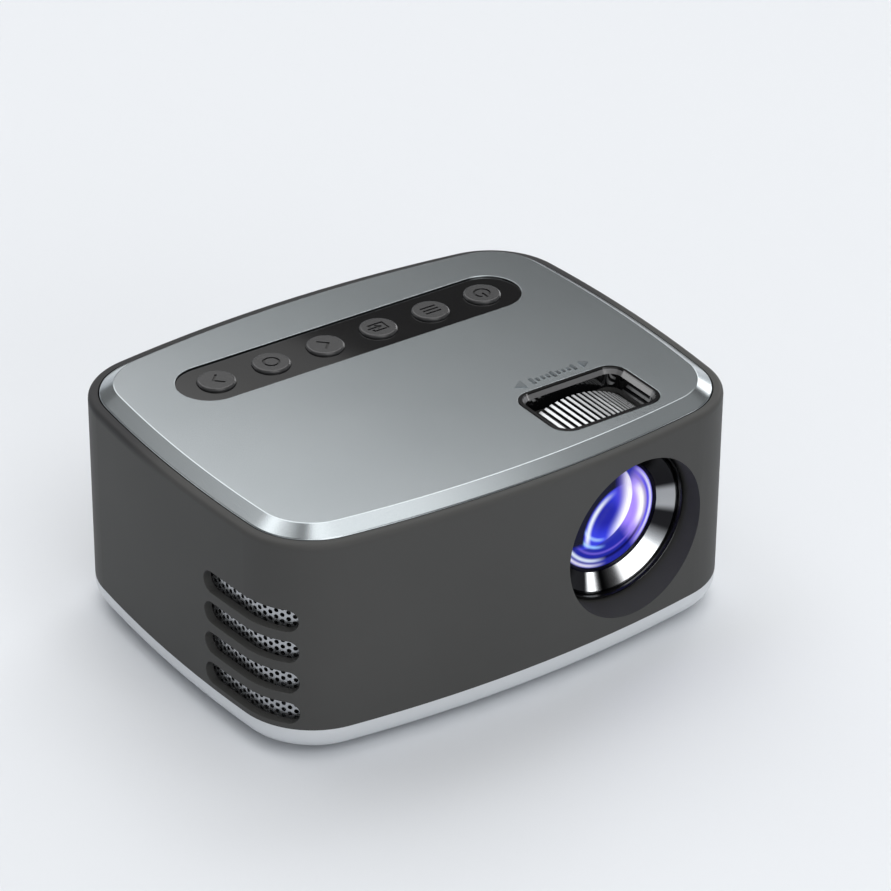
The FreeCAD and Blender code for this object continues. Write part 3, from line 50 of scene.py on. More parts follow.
# ---- Node graphs: one method adds any node, and Value makes maths read as expressions -------
class Value:
    """A socket that carries a number, so that Python expressions add its Math nodes."""

    def __init__(self, graph, socket):
        self.graph = graph
        self.socket = socket

    def math(self, operation, *others):
        inputs = dict(enumerate((self,) + others))
        return self.graph.add(self.graph.math_node, {"operation": operation}, inputs).value()

    def swapped(self, operation, other):
        inputs = {0: other, 1: self}
        return self.graph.add(self.graph.math_node, {"operation": operation}, inputs).value()

    def __add__(self, other):
        return self.math("ADD", other)

    def __sub__(self, other):
        return self.math("SUBTRACT", other)

    def __mul__(self, other):
        return self.math("MULTIPLY", other)

    def __truediv__(self, other):
        return self.math("DIVIDE", other)

    def __pow__(self, other):
        return self.math("POWER", other)

    def __radd__(self, other):
        return self.swapped("ADD", other)

    def __rsub__(self, other):
        return self.swapped("SUBTRACT", other)

    def __gt__(self, other):
        return self.math("GREATER_THAN", other)

    def __lt__(self, other):
        return self.math("LESS_THAN", other)

    def step(self, low, high):
        """0 on the low side and 1 on the high side, with a smooth rise between them."""
        inputs = {"Value": self, "From Min": low, "From Max": high}
        settings = {"interpolation_type": "SMOOTHSTEP"}
        return self.graph.add("ShaderNodeMapRange", settings, inputs).value()

    def between(self, low, high, edge):
        """1 from 'low' to 'high' and 0 outside, with smooth edges."""
        return self.step(low - edge, low + edge) * (1 - self.step(high - edge, high + edge))


class Node:
    """A node of a graph, whose outputs are read as Values or as plain sockets."""

    def __init__(self, graph, node):
        self.graph = graph
        self.node = node

    def value(self, name=0):
        return Value(self.graph, self.node.outputs[name])

    def out(self, name=0):
        return self.node.outputs[name]


class Graph:
    """Adds nodes to one tree: settings first, then the values or links of its sockets."""

    math_node = "ShaderNodeMath"

    def __init__(self, tree):
        self.tree = tree

    def add(self, kind, settings=None, inputs=None):
        node = self.tree.nodes.new(kind)
        for name, setting in (settings or {}).items():
            setattr(node, name, setting)
        for name, given in (inputs or {}).items():
            self.feed(node.inputs[name], given)
        return Node(self, node)

    def feed(self, socket, given):
        if isinstance(given, (Value, Node)):
            given = given.socket if isinstance(given, Value) else given.out()
        if isinstance(given, bpy.types.NodeSocket):
            self.tree.links.new(given, socket)
        elif socket.type == "RGBA" and len(given) == 3:
            socket.default_value = (*given, 1)
        else:
            socket.default_value = given

    def dot(self, vector, axis):
        settings = {"operation": "DOT_PRODUCT"}
        return self.add("ShaderNodeVectorMath", settings, {0: vector, 1: axis}).value("Value")


class Finish(Graph):
    """A material with one Principled shader, its own coordinates and named helpers."""

    def __init__(self, name, colour, roughness, metallic=0.0, **constants):
        self.material = bpy.data.materials.new(name)
        self.material.use_nodes = True
        super().__init__(self.material.node_tree)
        self.shader = self.tree.nodes["Principled BSDF"]
        self.place = self.add("ShaderNodeTexCoord").out("Object")
        self.colour = colour
        self.set("Base Color", colour)
        self.set("Roughness", roughness)
        self.set("Metallic", metallic)
        for socket, constant in constants.items():
            self.set(socket.replace("_", " "), constant)

    def set(self, socket, given):
        self.feed(self.shader.inputs[socket], given)

    def noise(self, size, detail=2.0, roughness=0.5):
        """Noise whose lumps are about 'size' metres across."""
        inputs = {"Vector": self.place, "Scale": 1 / size, "Detail": detail, "Roughness": roughness}
        return self.add("ShaderNodeTexNoise", None, inputs).value("Fac")

    def axis(self, letter):
        return self.add("ShaderNodeSeparateXYZ", None, {"Vector": self.place}).value(letter)

    def around(self, first, second, first_middle, second_middle):
        """The distance in metres from a line, given by two axis letters and its place on them."""
        a = self.axis(first) - first_middle
        b = self.axis(second) - second_middle
        return (a * a + b * b) ** 0.5

    def blend(self, share, low, high):
        """A colour between two others; 'share' is a Value."""
        node = self.add("ShaderNodeMix", {"data_type": "RGBA"}, {0: share, 6: low, 7: high})
        return node.out(2)

    def vary(self, size, spread):
        """Let the base colour drift a little darker and lighter."""
        dark = tuple(c * (1 - spread) for c in self.colour)
        light = tuple(min(1.0, c * (1 + spread)) for c in self.colour)
        self.set("Base Color", self.blend(self.noise(size, 4), dark, light))

    def bump(self, height, depth):
        """Raise the surface by 'height', a Value from 0 to 1, times 'depth' metres."""
        inputs = {"Height": height, "Distance": depth, "Strength": 1.0}
        self.set("Normal", self.add("ShaderNodeBump", None, inputs).out())


def srgb(red, green, blue):
    """A colour as it looks on screen, 0 to 255, as the linear colour that a shader takes."""
    return tuple((c / 255 / 12.92) if c < 10.3 else ((c / 255 + 0.055) / 1.055) ** 2.4
                 for c in (red, green, blue))


# ---- Camera ---------------------------------------------------------------------------------
camera_place = Vector((-0.43467, -0.63127, 0.49200))
camera_right = Vector((0.81967615, -0.57277452, 0.00776915))
camera_up = Vector((0.2857672, 0.42063007, 0.8610502))
camera_data = bpy.data.cameras.new("camera")
camera_data.sensor_width = 36.0
camera_data.lens = 160.822
camera_data.clip_start = 0.01
camera = bpy.data.objects.new("camera", camera_data)
scene.collection.objects.link(camera)
camera_turn = Matrix((camera_right, camera_up, camera_right.cross(camera_up))).transposed()
camera.matrix_world = Matrix.Translation(camera_place) @ camera_turn.to_4x4()
scene.camera = camera
scene.view_settings.view_transform = "Standard"


# ---- Floor and studio light -----------------------------------------------------------------
def new_object(name, mesh, materials=(), smooth=True):
    """Turn a bmesh into an object with these materials."""
    data = bpy.data.meshes.new(name)
    mesh.to_mesh(data)
    mesh.free()
    for material in materials:
        data.materials.append(material)
    for face in data.polygons:
        face.use_smooth = smooth
    obj = bpy.data.objects.new(name, data)
    scene.collection.objects.link(obj)
    return obj


def floor_disc(radius):
    mesh = bmesh.new()
    bmesh.ops.create_circle(mesh, cap_ends=True, segments=96, radius=radius)
    return mesh


floor_radius = 2.5
floor_finish = Finish("floor_paint", srgb(224, 227, 231), 0.55)
floor_finish.vary(0.4, 0.02)
floor = new_object("floor", floor_disc(floor_radius), [floor_finish.material])


def heading(azimuth, elevation):
    """A direction from its compass angle about +Z, from +X, and its height, in degrees."""
    flat = math.cos(math.radians(elevation))
    return Vector((flat * math.cos(math.radians(azimuth)), flat * math.sin(math.radians(azimuth)),
                   math.sin(math.radians(elevation))))


class Sky(Graph):
    """The world: an even dim room, with soft boxes far away, each a rectangle round its middle."""

    def __init__(self, tree, ambient):
        super().__init__(tree)
        self.way = self.add("ShaderNodeTexCoord").out("Generated")
        self.light = ambient

    def soft_box(self, middle, width, height, strength, edge):
        """A box 'width' by 'height', both as tangents of its half angles, with soft edges."""
        up = (Vector((0, 0, 1)) - middle * middle.z).normalized()
        right = middle.cross(up)
        ahead = self.dot(self.way, middle)
        across = self.dot(self.way, right) / ahead
        upward = self.dot(self.way, up) / ahead
        inside = across.between(-width, width, edge) * upward.between(-height, height, edge)
        self.light = self.light + inside * (ahead > 0.05) * strength

    def horizon(self, colour, full_below, gone_above):
        """The pale backdrop: a band all round, whose limits are sines of the elevation."""
        height = self.dot(self.way, Vector((0, 0, 1)))
        low = 1 - height.step(full_below, gone_above)
        lit = self.add("ShaderNodeMix", {"data_type": "RGBA"}, {0: low, 6: self.light, 7: colour})
        self.feed(self.tree.nodes["Background"].inputs["Color"], lit.out(2))


world = bpy.data.worlds.new("studio")
world.use_nodes = True
scene.world = world
room_light = 0.08
sky = Sky(world.node_tree, room_light)

# The large box that the top plate mirrors. Its lower edge falls along the end of the key panel.
mirror_way = Vector((0.4814, 0.7297, 0.4871)).normalized()
panel_edge_up = Vector((-0.5407, -0.1903, 0.8194)).normalized()
towards_box = sky.dot(sky.way, mirror_way)
box_up = sky.dot(sky.way, panel_edge_up) / towards_box
box_right = sky.dot(sky.way, mirror_way.cross(panel_edge_up)) / towards_box
lower_edge = box_up.step(0.0, 0.003) * 0.35
main_rise = box_up.step(0.012, 0.07) * 1.25
upper_rise = box_up.step(0.07, 0.3) * 0.25
upper_end = 1 - box_up.step(1.3, 2.1)
back_box = (lower_edge + main_rise + upper_rise) * upper_end * box_right.between(-0.58, 0.62, 0.15)
sky.light = sky.light + back_box * (towards_box > 0.05)

# Bright boxes, whose reflections draw the highlights on metal and glass.
sky.soft_box(heading(-40, 76), width=0.32, height=0.27, strength=1.6, edge=0.07)
sky.soft_box(heading(-98, 52), width=0.4, height=0.22, strength=2.6, edge=0.08)
sky.soft_box(heading(28, 10), width=0.24, height=0.22, strength=4.0, edge=0.05)
sky.soft_box(heading(-91, 15), width=0.37, height=0.2, strength=3.0, edge=0.09)
sky.soft_box(heading(-37, 15), width=0.08, height=0.08, strength=3.0, edge=0.03)
sky.soft_box(heading(33, 55), width=0.12, height=0.1, strength=2.2, edge=0.04)
sky.soft_box(heading(-42, 44), width=0.09, height=0.07, strength=1.0, edge=0.03)
sky.soft_box(heading(134, 11), width=0.13, height=0.1, strength=2.4, edge=0.03)

# Dim boxes, which lift the tones between the highlights.
sky.soft_box(heading(-2, 46), width=0.34, height=0.26, strength=0.3, edge=0.14)
sky.soft_box(heading(-110, 76), width=0.2, height=0.2, strength=0.3, edge=0.12)
sky.soft_box(heading(112, 40), width=0.2, height=0.16, strength=0.3, edge=0.1)
sky.soft_box(heading(146, 62), width=0.3, height=0.26, strength=0.9, edge=0.16)
sky.soft_box(heading(222, 32), width=0.7, height=0.36, strength=0.4, edge=0.2)
sky.horizon(srgb(228, 231, 235), full_below=0.11, gone_above=0.25)


# ---- Finishes -------------------------------------------------------------------------------
panel_middle = (0.9, 23.05)
button_pitch = 14.4
symbol_field = 3.3


def moulded(name, colour, roughness, grain=0.25, depth=0.01, **constants):
    """Moulded plastic: a fine spark-eroded grain, in mm, and a slight drift of colour."""
    finish = Finish(name, colour, roughness, **constants)
    finish.vary(12 * MM, 0.04)
    finish.bump(finish.noise(grain * MM, 3.0, 0.6), depth * MM)
    return finish.material


def gloss(name, colour, roughness, **constants):
    """Polished plastic: faint flow lines in its gloss and colour."""
    finish = Finish(name, colour, roughness, **constants)
    finish.vary(9 * MM, 0.05)
    finish.set("Roughness", finish.noise(14 * MM, 3) * 0.04 + roughness)
    return finish.material


def metal(name, colour, roughness, grain=0.3, depth=0.006, **constants):
    """Metal with a drift of gloss and a fine grain, in mm."""
    finish = Finish(name, colour, roughness, 1.0, **constants)
    finish.vary(6 * MM, 0.06)
    finish.set("Roughness", finish.noise(3 * MM, 3) * 0.12 + (roughness - 0.06))
    finish.bump(finish.noise(grain * MM, 3.0, 0.6), depth * MM)
    return finish.material


def plate_paint():
    """Satin silver paint over the top plate, with a fine metallic fleck."""
    finish = Finish("plate_silver_paint", srgb(176, 182, 185), 0.24, 1.0)
    fleck = finish.noise(0.3 * MM, 4, 0.7)
    drift = finish.noise(40 * MM, 2)
    tone = fleck * 0.6 + drift * 0.4
    finish.set("Base Color", finish.blend(tone, srgb(160, 167, 170), srgb(192, 198, 201)))
    finish.set("Roughness", fleck * 0.06 + 0.14)
    finish.bump(fleck, 0.006 * MM)
    return finish.material


def bezel_plastic():
    """Black on top and deep inside, with satin grey slopes between them."""
    finish = Finish("bezel_black_and_grey", srgb(11, 11, 12), 0.08, Coat_Weight=0.6, Coat_IOR=1.7)
    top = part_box("focus_window_bezel")[1][2]
    slope = finish.axis("Z").between(top - 1.3 * MM, top - 0.3 * MM, 0.04 * MM)
    finish.set("Base Color", finish.blend(slope, srgb(11, 11, 12), srgb(104, 104, 105)))
    finish.set("Roughness", finish.noise(9 * MM, 3) * 0.05 + slope * 0.1 + 0.04)
    return finish.material


lens_low, lens_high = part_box("front_lens")
lens_x = (lens_low[0] + lens_high[0]) / 2
lens_z = (lens_low[2] + lens_high[2]) / 2
outer_coat_depth = -37
inner_coat_depth = -32
coat_lean_across = 0.7
coat_lean_up = 0.72


def coated_glass(name, tint, share_of, colour_of, metallic=1.0, glow=0.0):
    """Clear glass under a thin coloured coating; 'share_of' says where the coating shows, and
    'glow' makes the coating give off painted light.
    """
    finish = Finish(name, tint, 0.0, Transmission_Weight=1.0, IOR=1.5)
    colour = colour_of(finish)
    coat = finish.add("ShaderNodeBsdfPrincipled", None,
                      {"Base Color": colour, "Metallic": metallic, "Roughness": 0.04,
                       "IOR": 1.25, "Emission Color": colour, "Emission Strength": glow})
    mix = finish.add("ShaderNodeMixShader", None,
                     {0: share_of(finish), 1: finish.shader.outputs[0], 2: coat.out()})
    finish.feed(finish.tree.nodes["Material Output"].inputs["Surface"], mix.out())
    return finish.material


def facing(finish):
    """0 where the surface faces the eye, rising to 1 at grazing angles."""
    return finish.add("ShaderNodeLayerWeight", None, {"Blend": 0.5}).value("Facing")


def slanted(finish, depth):
    """Places across and up from the lens axis, in mm, as seen from the usual side at a depth."""
    behind = (depth * MM - finish.axis("Y")) / MM
    across = (finish.axis("X") - lens_x) / MM + behind * coat_lean_across
    up = (finish.axis("Z") - lens_z) / MM - behind * coat_lean_up
    return across, up, (across * across + up * up) ** 0.5


def front_coat_and_painted_reflections(finish):
    """Deep blue coating, with painted reflections: pale glows to the right, a pale arc to the left
    and navy beyond the arc.
    """
    across, up, radius = slanted(finish, outer_coat_depth)
    deep_across, deep_up, deep_radius = slanted(finish, inner_coat_depth)
    right = (across / radius).step(0.55, 0.97)
    far_right = (across / radius).step(0.8, 0.99)
    low_left = ((across * -0.64 + up * -0.77) / radius).step(0.72, 0.98)
    low = (up / radius * -1).step(0.3, 0.9)
    lavender = srgb(158, 128, 246)
    pale = srgb(255, 252, 255)

    tone = finish.blend(radius.step(1.5, 6.0), srgb(14, 18, 150), srgb(44, 54, 214))

    def paint(share, colour):
        nonlocal tone
        tone = finish.blend(share, tone, colour)

    # The violet side, its glow as a painted highlight, and a painted reflection at the ring where
    # the inner part of the lens ends.
    paint((across + up * 0.2).step(2.5, 6.0), srgb(82, 66, 190))
    paint((deep_across - deep_up * 0.2).step(5.0, 10.2) * deep_radius.step(6.6, 10.4), pale)
    paint(deep_radius.step(10.5, 10.9), finish.blend(right, srgb(34, 40, 158), lavender))

    # Painted reflection bands outside it, light and dark, on the right and below.
    paint(right * radius.step(7.6, 9.0) * 0.8, srgb(190, 166, 248))
    paint(far_right * radius.between(9.2, 11.0, 0.8), pale)
    paint(right * radius.step(11.0, 11.8), srgb(84, 76, 226))
    paint(low * radius.between(9.2, 9.7, 0.3) * 0.4, lavender)
    paint((low + right * 0.4) * (1 - low_left) * radius.between(10.6, 11.4, 0.4), srgb(16, 16, 84))

    # Three thin painted reflection arcs at the lower left, and a painted highlight on the pale rim.
    paint(low_left * radius.between(5.8, 6.3, 0.5), srgb(170, 204, 255))
    paint(low_left * radius.between(7.6, 8.2, 0.4), srgb(150, 196, 255))
    paint(low_left * radius.between(10.9, 11.6, 0.4), srgb(226, 236, 255))
    paint((right + low_left) * radius.between(12.2, 12.8, 0.4), srgb(236, 232, 255))

    # The painted reflection arc on the left, painted shade in navy beyond it, and the black border.
    from_arc = ((deep_across - 9) ** 2 + (deep_up + 8.5) ** 2) ** 0.5
    arc_end = (1 - deep_across.step(1.0, 7.0)) * deep_up.step(-11, -8)
    navy_end = (1 - deep_across.step(5.5, 9.0)) * deep_up.step(-10.5, -8.5)
    paint(from_arc.between(9.9, 10.8, 0.7) * arc_end, srgb(244, 250, 255))
    paint(from_arc.step(11.1, 11.8) * navy_end, srgb(4, 5, 34))
    paint(radius.step(12.9, 13.2), srgb(8, 8, 14))
    return tone


def inner_coat_and_painted_highlight(finish):
    """Deep blue turning to lavender towards the lit side of the rim: a painted highlight."""
    side = (finish.axis("X") - lens_x) / MM + (finish.axis("Z") - lens_z) / MM * 0.35
    return finish.blend(side.step(1.5, 9.0), srgb(26, 34, 226), srgb(206, 196, 250))


def full_coat_share(finish):
    return facing(finish) * 0.04 + 0.95


def middle_coat_share(finish):
    return facing(finish) * 0.1 + 0.86


def clear_coat_share(finish):
    return facing(finish) * 0.3 + 0.12


def clear_coat_colour(finish):
    return srgb(120, 110, 255)


def shell_plastic():
    """Fine-grained grey, with painted shade darkening the back of the rim around the top plate."""
    finish = Finish("shell_grey_plastic", srgb(66, 66, 65), 0.55, Specular_IOR_Level=0.2)
    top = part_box("housing_shell")[1][2]
    rim = finish.axis("Z").step(top - 2.2 * MM, top - 1.2 * MM)
    back = finish.axis("Y").step(-5 * MM, 20 * MM)
    tone = finish.blend(finish.noise(30 * MM, 3), srgb(65, 65, 64), srgb(71, 71, 70))
    # Painted shade: the back of the rim, next to the top plate, is painted darker.
    finish.set("Base Color", finish.blend(rim * back, tone, srgb(48, 48, 49)))
    finish.bump(finish.noise(0.25 * MM, 3.0, 0.6), 0.01 * MM)
    return finish.material


finishes = {
    "shell_grey": shell_plastic(),
    "plate_silver": plate_paint(),
    "base_silver": moulded("base_silver_paint", srgb(212, 215, 218), 0.3, Metallic=0.4),
    "gloss_black": gloss("gloss_black_plastic", srgb(10, 10, 11), 0.03,
                         Coat_Weight=0.5, Coat_IOR=1.7),
    "button_grey": moulded("button_grey_plastic", srgb(52, 52, 53), 0.26),
    "mesh_steel": metal("mesh_steel_sheet", srgb(172, 174, 177), 0.25, grain=0.5, depth=0.02),
    "foot_rubber": moulded("foot_rubber_moulding", srgb(30, 30, 31), 0.75, grain=0.5, depth=0.03),
    "screw_steel": metal("screw_steel_turned", srgb(90, 91, 94), 0.32),
    "brass": metal("brass_turned", srgb(205, 170, 100), 0.3),
    "board_green": moulded("board_green_mask", srgb(26, 84, 54), 0.32),
    "switch_steel": metal("switch_steel_sheet", srgb(190, 190, 192), 0.3),
    "black_plastic": moulded("black_plastic_moulding", srgb(24, 24, 25), 0.42),
    "ring_silver": moulded("ring_silver_plating", srgb(206, 208, 210), 0.3, Metallic=0.55),
    # The front lens coating glows faintly: painted light, with no lamp inside the lens.
    "lens_glass": coated_glass("lens_glass_coated", srgb(240, 240, 255), full_coat_share,
                               front_coat_and_painted_reflections, metallic=0.0, glow=0.42),
    "clear_glass": coated_glass("clear_glass_coated", srgb(240, 242, 255), clear_coat_share,
                                clear_coat_colour),
    "lcd_dark": gloss("lcd_dark_glass", srgb(18, 22, 30), 0.08),
    "mirror_glass": metal("mirror_glass_silvered", srgb(225, 228, 230), 0.08,
                          grain=0.5, depth=0.001),
    "aluminium": metal("aluminium_anodised", srgb(180, 183, 187), 0.35),
    "led_yellow": moulded("led_yellow_phosphor", srgb(230, 200, 60), 0.4),
    "cone_paper": moulded("cone_paper_pulp", srgb(34, 33, 32), 0.85, grain=0.4, depth=0.03),
    "magnet_steel": metal("magnet_steel_block", srgb(150, 150, 152), 0.35),
    "chip_black": moulded("chip_black_resin", srgb(28, 28, 30), 0.5),
    "can_aluminium": metal("can_aluminium_sleeve", srgb(196, 198, 200), 0.25),
    "socket_steel": metal("socket_steel_shell", srgb(190, 192, 194), 0.28),
    "ir_dark": gloss("ir_dark_filter", srgb(22, 10, 16), 0.06),
}


def lens_angle(finish):
    """Degrees round the lens axis, from +X towards +Z."""
    height = finish.axis("Z") - lens_z
    return height.math("ARCTAN2", finish.axis("X") - lens_x) * (180 / math.pi)


def dark_chrome():
    """Black chrome, with painted highlights on some stretches of the ring."""
    finish = Finish("dark_chrome_ring", srgb(160, 160, 162), 0.1, 1.0)
    turn = lens_angle(finish)
    # Painted highlights: three stretches of the ring are painted near white.
    right_glint = turn.between(-9, 11, 4) * 0.55
    lower_glint = turn.between(-86, -34, 10)
    left_glint = turn.between(-112, -100, 3)
    bright = right_glint + lower_glint + left_glint
    finish.set("Base Color", finish.blend(bright, srgb(34, 34, 36), srgb(226, 228, 230)))
    finish.set("Roughness", finish.noise(6 * MM, 3) * 0.05 + 0.12)
    return finish.material


def key_plastic():
    """Satin grey caps whose sunk symbols are painted near black."""
    finish = Finish("key_grey_plastic", srgb(54, 54, 55), 0.26)
    spot = (finish.axis("X") / MM - panel_middle[0]) / button_pitch
    across = (spot.math("FLOORED_MODULO", 1.0) - 0.5) * button_pitch
    along = finish.axis("Y") / MM - panel_middle[1]
    near = (across * across + along * along) < symbol_field ** 2
    cap_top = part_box("button_ok")[1][2] / MM
    sunk = near * (1 - (finish.axis("Z") / MM).step(cap_top - 0.16, cap_top - 0.06))
    tone = finish.blend(finish.noise(12 * MM, 4), srgb(45, 45, 46), srgb(51, 51, 52))
    finish.set("Base Color", finish.blend(sunk, tone, srgb(8, 8, 9)))
    finish.bump(finish.noise(0.25 * MM, 3.0, 0.6), 0.008 * MM)
    return finish.material


groove_radius = 23.8
rib_radius = 23.97


def rib_plating():
    """Silver on the ribs, with painted shade darkening the grooves between them."""
    finish = Finish("rib_silver_plating", srgb(206, 208, 210), 0.28, 0.6)
    radius = finish.around("X", "Z", lens_x, lens_z) / MM
    crest = radius.step(groove_radius, rib_radius)
    # Painted shade: below the rib crests the grooves are painted dark.
    finish.set("Base Color", finish.blend(crest, srgb(38, 38, 40), srgb(212, 214, 216)))
    finish.set("Roughness", finish.noise(2 * MM, 3) * 0.1 + 0.24)
    return finish.material


def barrel_plastic():
    """Gloss black, with a painted highlight on the lower right of its front edge."""
    finish = Finish("barrel_black_plastic", srgb(16, 16, 17), 0.14)
    radius = finish.around("X", "Z", lens_x, lens_z) / MM
    front = 1 - (finish.axis("Y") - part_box("lens_barrel")[0][1]).step(0.3 * MM, 0.6 * MM)
    lower_right = lens_angle(finish).between(-66, -24, 14)
    # A painted highlight along the lower right of the front edge.
    painted_edge_highlight = radius.between(18.45, 18.75, 0.1) * lower_right * front
    finish.set("Base Color", finish.blend(painted_edge_highlight, srgb(16, 16, 17), srgb(214, 216, 218)))
    return finish.material


def dress(node, material):
    for slot in nodes[node].material_slots:
        slot.material = material


for obj in nodes.values():
    for slot in obj.material_slots:
        slot.material = finishes[slot.material.name.split(".")[0]]
dress("lens_front_ring", dark_chrome())
dress("focus_window_bezel", bezel_plastic())
dress("focus_ring", rib_plating())
dress("lens_barrel", barrel_plastic())
dress("middle_lens", coated_glass("middle_lens_coated", srgb(150, 160, 255), middle_coat_share,
                                  inner_coat_and_painted_highlight))
key_finish = key_plastic()
for name in nodes:
    if name.startswith("button_") and name != "button_panel":
        dress(name, key_finish)


# ---- Body outline: the same bows and round corners as the case, in millimetres ---------------
half_width = 63.5
half_depth = 50.1
front_bow_radius = 308.0
side_bow_radius = 318.0
corner_radius = 18.6


def corner_centre():
    """Where a corner arc is centred, so that it meets both bows smoothly."""
    bow_x = half_width - side_bow_radius
    bow_y = half_depth - front_bow_radius
    reach_front = front_bow_radius - corner_radius
    reach_side = side_bow_radius - corner_radius
    span = math.hypot(bow_x, bow_y)
    along = (reach_front ** 2 - reach_side ** 2 + span ** 2) / (2 * span)
    across = math.sqrt(reach_front ** 2 - along ** 2)
    return ((along * bow_x - across * bow_y) / span,
            bow_y - (along * bow_y + across * bow_x) / span)


corner_x, corner_y = corner_centre()
side_end = math.atan2(corner_y, corner_x - half_width + side_bow_radius)
front_end = math.atan2(corner_y - half_depth + front_bow_radius, corner_x)


def outline_point(angle, inset):
    """The outline's point whose outward normal is at 'angle', moved inwards by 'inset'."""
    way_x, way_y = math.cos(angle), math.sin(angle)
    lean = math.atan2(abs(way_y), abs(way_x))
    if lean < side_end:
        x, y, radius = half_width - side_bow_radius, 0.0, side_bow_radius
    elif lean < front_end:
        x, y, radius = corner_x, corner_y, corner_radius
    else:
        x, y, radius = 0.0, half_depth - front_bow_radius, front_bow_radius
    radius -= inset
    return (math.copysign(x + radius * math.cos(lean), way_x),
            math.copysign(y + radius * math.sin(lean), way_y))


def outline_angles():
    """Normals round the whole outline, closest together in the corners."""
    bow_steps, corner_steps = 12, 18
    quarter = [side_end * step / bow_steps for step in range(bow_steps)]
    quarter += [side_end + (front_end - side_end) * step / corner_steps
                for step in range(corner_steps)]
    quarter += [front_end + (math.pi / 2 - front_end) * step / bow_steps
                for step in range(bow_steps)]
    angles = quarter + [math.pi - angle for angle in reversed(quarter[1:])]
    angles.insert(len(quarter), math.pi / 2)
    return angles + [angle + math.pi for angle in angles]


# ---- Lofts: rings of points joined by faces, with rounded edges ------------------------------
def rounded_profile(corners, steps=5):
    """A line of (inset, z, radius) corners in which each corner becomes an arc."""
    points = []
    for index, (u, z, radius) in enumerate(corners):
        if radius == 0:
            points.append((u, z))
            continue
        here = Vector((u, z))
        before = (Vector(corners[index - 1][:2]) - here).normalized()
        after = (Vector(corners[(index + 1) % len(corners)][:2]) - here).normalized()
        half = before.angle(after) / 2
        centre = here + (before + after).normalized() * radius / math.sin(half)
        start = here + before * radius / math.tan(half) - centre
        end = here + after * radius / math.tan(half) - centre
        for step in range(steps + 1):
            share = step / steps
            arm = (start * (1 - share) + end * share).normalized() * radius
            points.append(tuple(centre + arm))
    return points


def loft(mesh, rings, flat_reach):
    """Join rings of points with quads. A step longer than 'flat_reach' gets sharp ends."""
    layers = [[mesh.verts.new(Vector(point) * MM) for point in ring] for ring in rings]
    for lower, upper in zip(layers, layers[1:]):
        count = len(lower)
        long_step = (upper[0].co - lower[0].co).length > flat_reach * MM
        for index in range(count):
            after = (index + 1) % count
            face = mesh.faces.new((lower[index], lower[after], upper[after], upper[index]))
            if long_step:
                for edge in (face.edges[0], face.edges[2]):
                    edge.smooth = False
    return layers


def ring_edges(layer):
    """The edges that join the points of a ring, in order."""
    return [first.link_edges[[edge.other_vert(first) for edge in first.link_edges].index(second)]
            for first, second in zip(layer, layer[1:] + layer[:1])]


def fill_between(mesh, layers):
    """A flat face whose outer edge is the first layer and whose holes are the others."""
    verts = [vert for layer in layers for vert in layer]
    for triangle in tessellate_polygon([[vert.co for vert in layer] for layer in layers]):
        mesh.faces.new([verts[index] for index in triangle])
    for layer in layers:
        for edge in ring_edges(layer):
            edge.smooth = False


def rounded_rectangle(middle, width, length, radius, steps=10):
    """Points round a rectangle with round corners, anticlockwise."""
    points = []
    for turn, (sx, sy) in enumerate(((1, 1), (-1, 1), (-1, -1), (1, -1))):
        x = middle[0] + sx * (width / 2 - radius)
        y = middle[1] + sy * (length / 2 - radius)
        for step in range(steps + 1):
            angle = math.pi / 2 * (turn + step / steps)
            points.append((x + radius * math.cos(angle), y + radius * math.sin(angle)))
    return [point for point, before in zip(points, points[-1:] + points[:-1])
            if math.dist(point, before) > 1e-6]


# ---- Top plate: the sloping edge, the flat top and the two holes, all with soft edges ---------
plate_low, plate_high = (corner[2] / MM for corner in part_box("top_plate"))
plate_inset = 2.5
plate_shoulder_height = 2.5
plate_bevel_width = 3.3
plate_skirt_wall = 2.4
plate_thickness = 1.4
plate_edge_radius = 0.45
plate_flat_border = 1.0
hole_edge_radius = 0.12
hole_edge_arc = 0.95 * hole_edge_radius
hole_gap = 0.1
longest_arc_step = 0.3
panel_length, panel_width = 90.7, 15.8
window_middle = (28.6, -29.35)
window_width, window_length, window_corner = 28.7, 19.5, 4.5


def hole_profile(underside):
    return rounded_profile([(hole_edge_radius, plate_high, 0), (0, plate_high, hole_edge_arc),
                            (0, underside, 0)])


def hole_rings(middle, width, length, radius, underside):
    """Rings down the wall of a hole that clears its part by 'hole_gap' all round."""
    rings = []
    for flare, z in hole_profile(underside):
        grow = hole_gap + flare
        ring = rounded_rectangle(middle, width + 2 * grow, length + 2 * grow, radius + grow)
        rings.append([(x, y, z) for x, y in ring])
    return rings


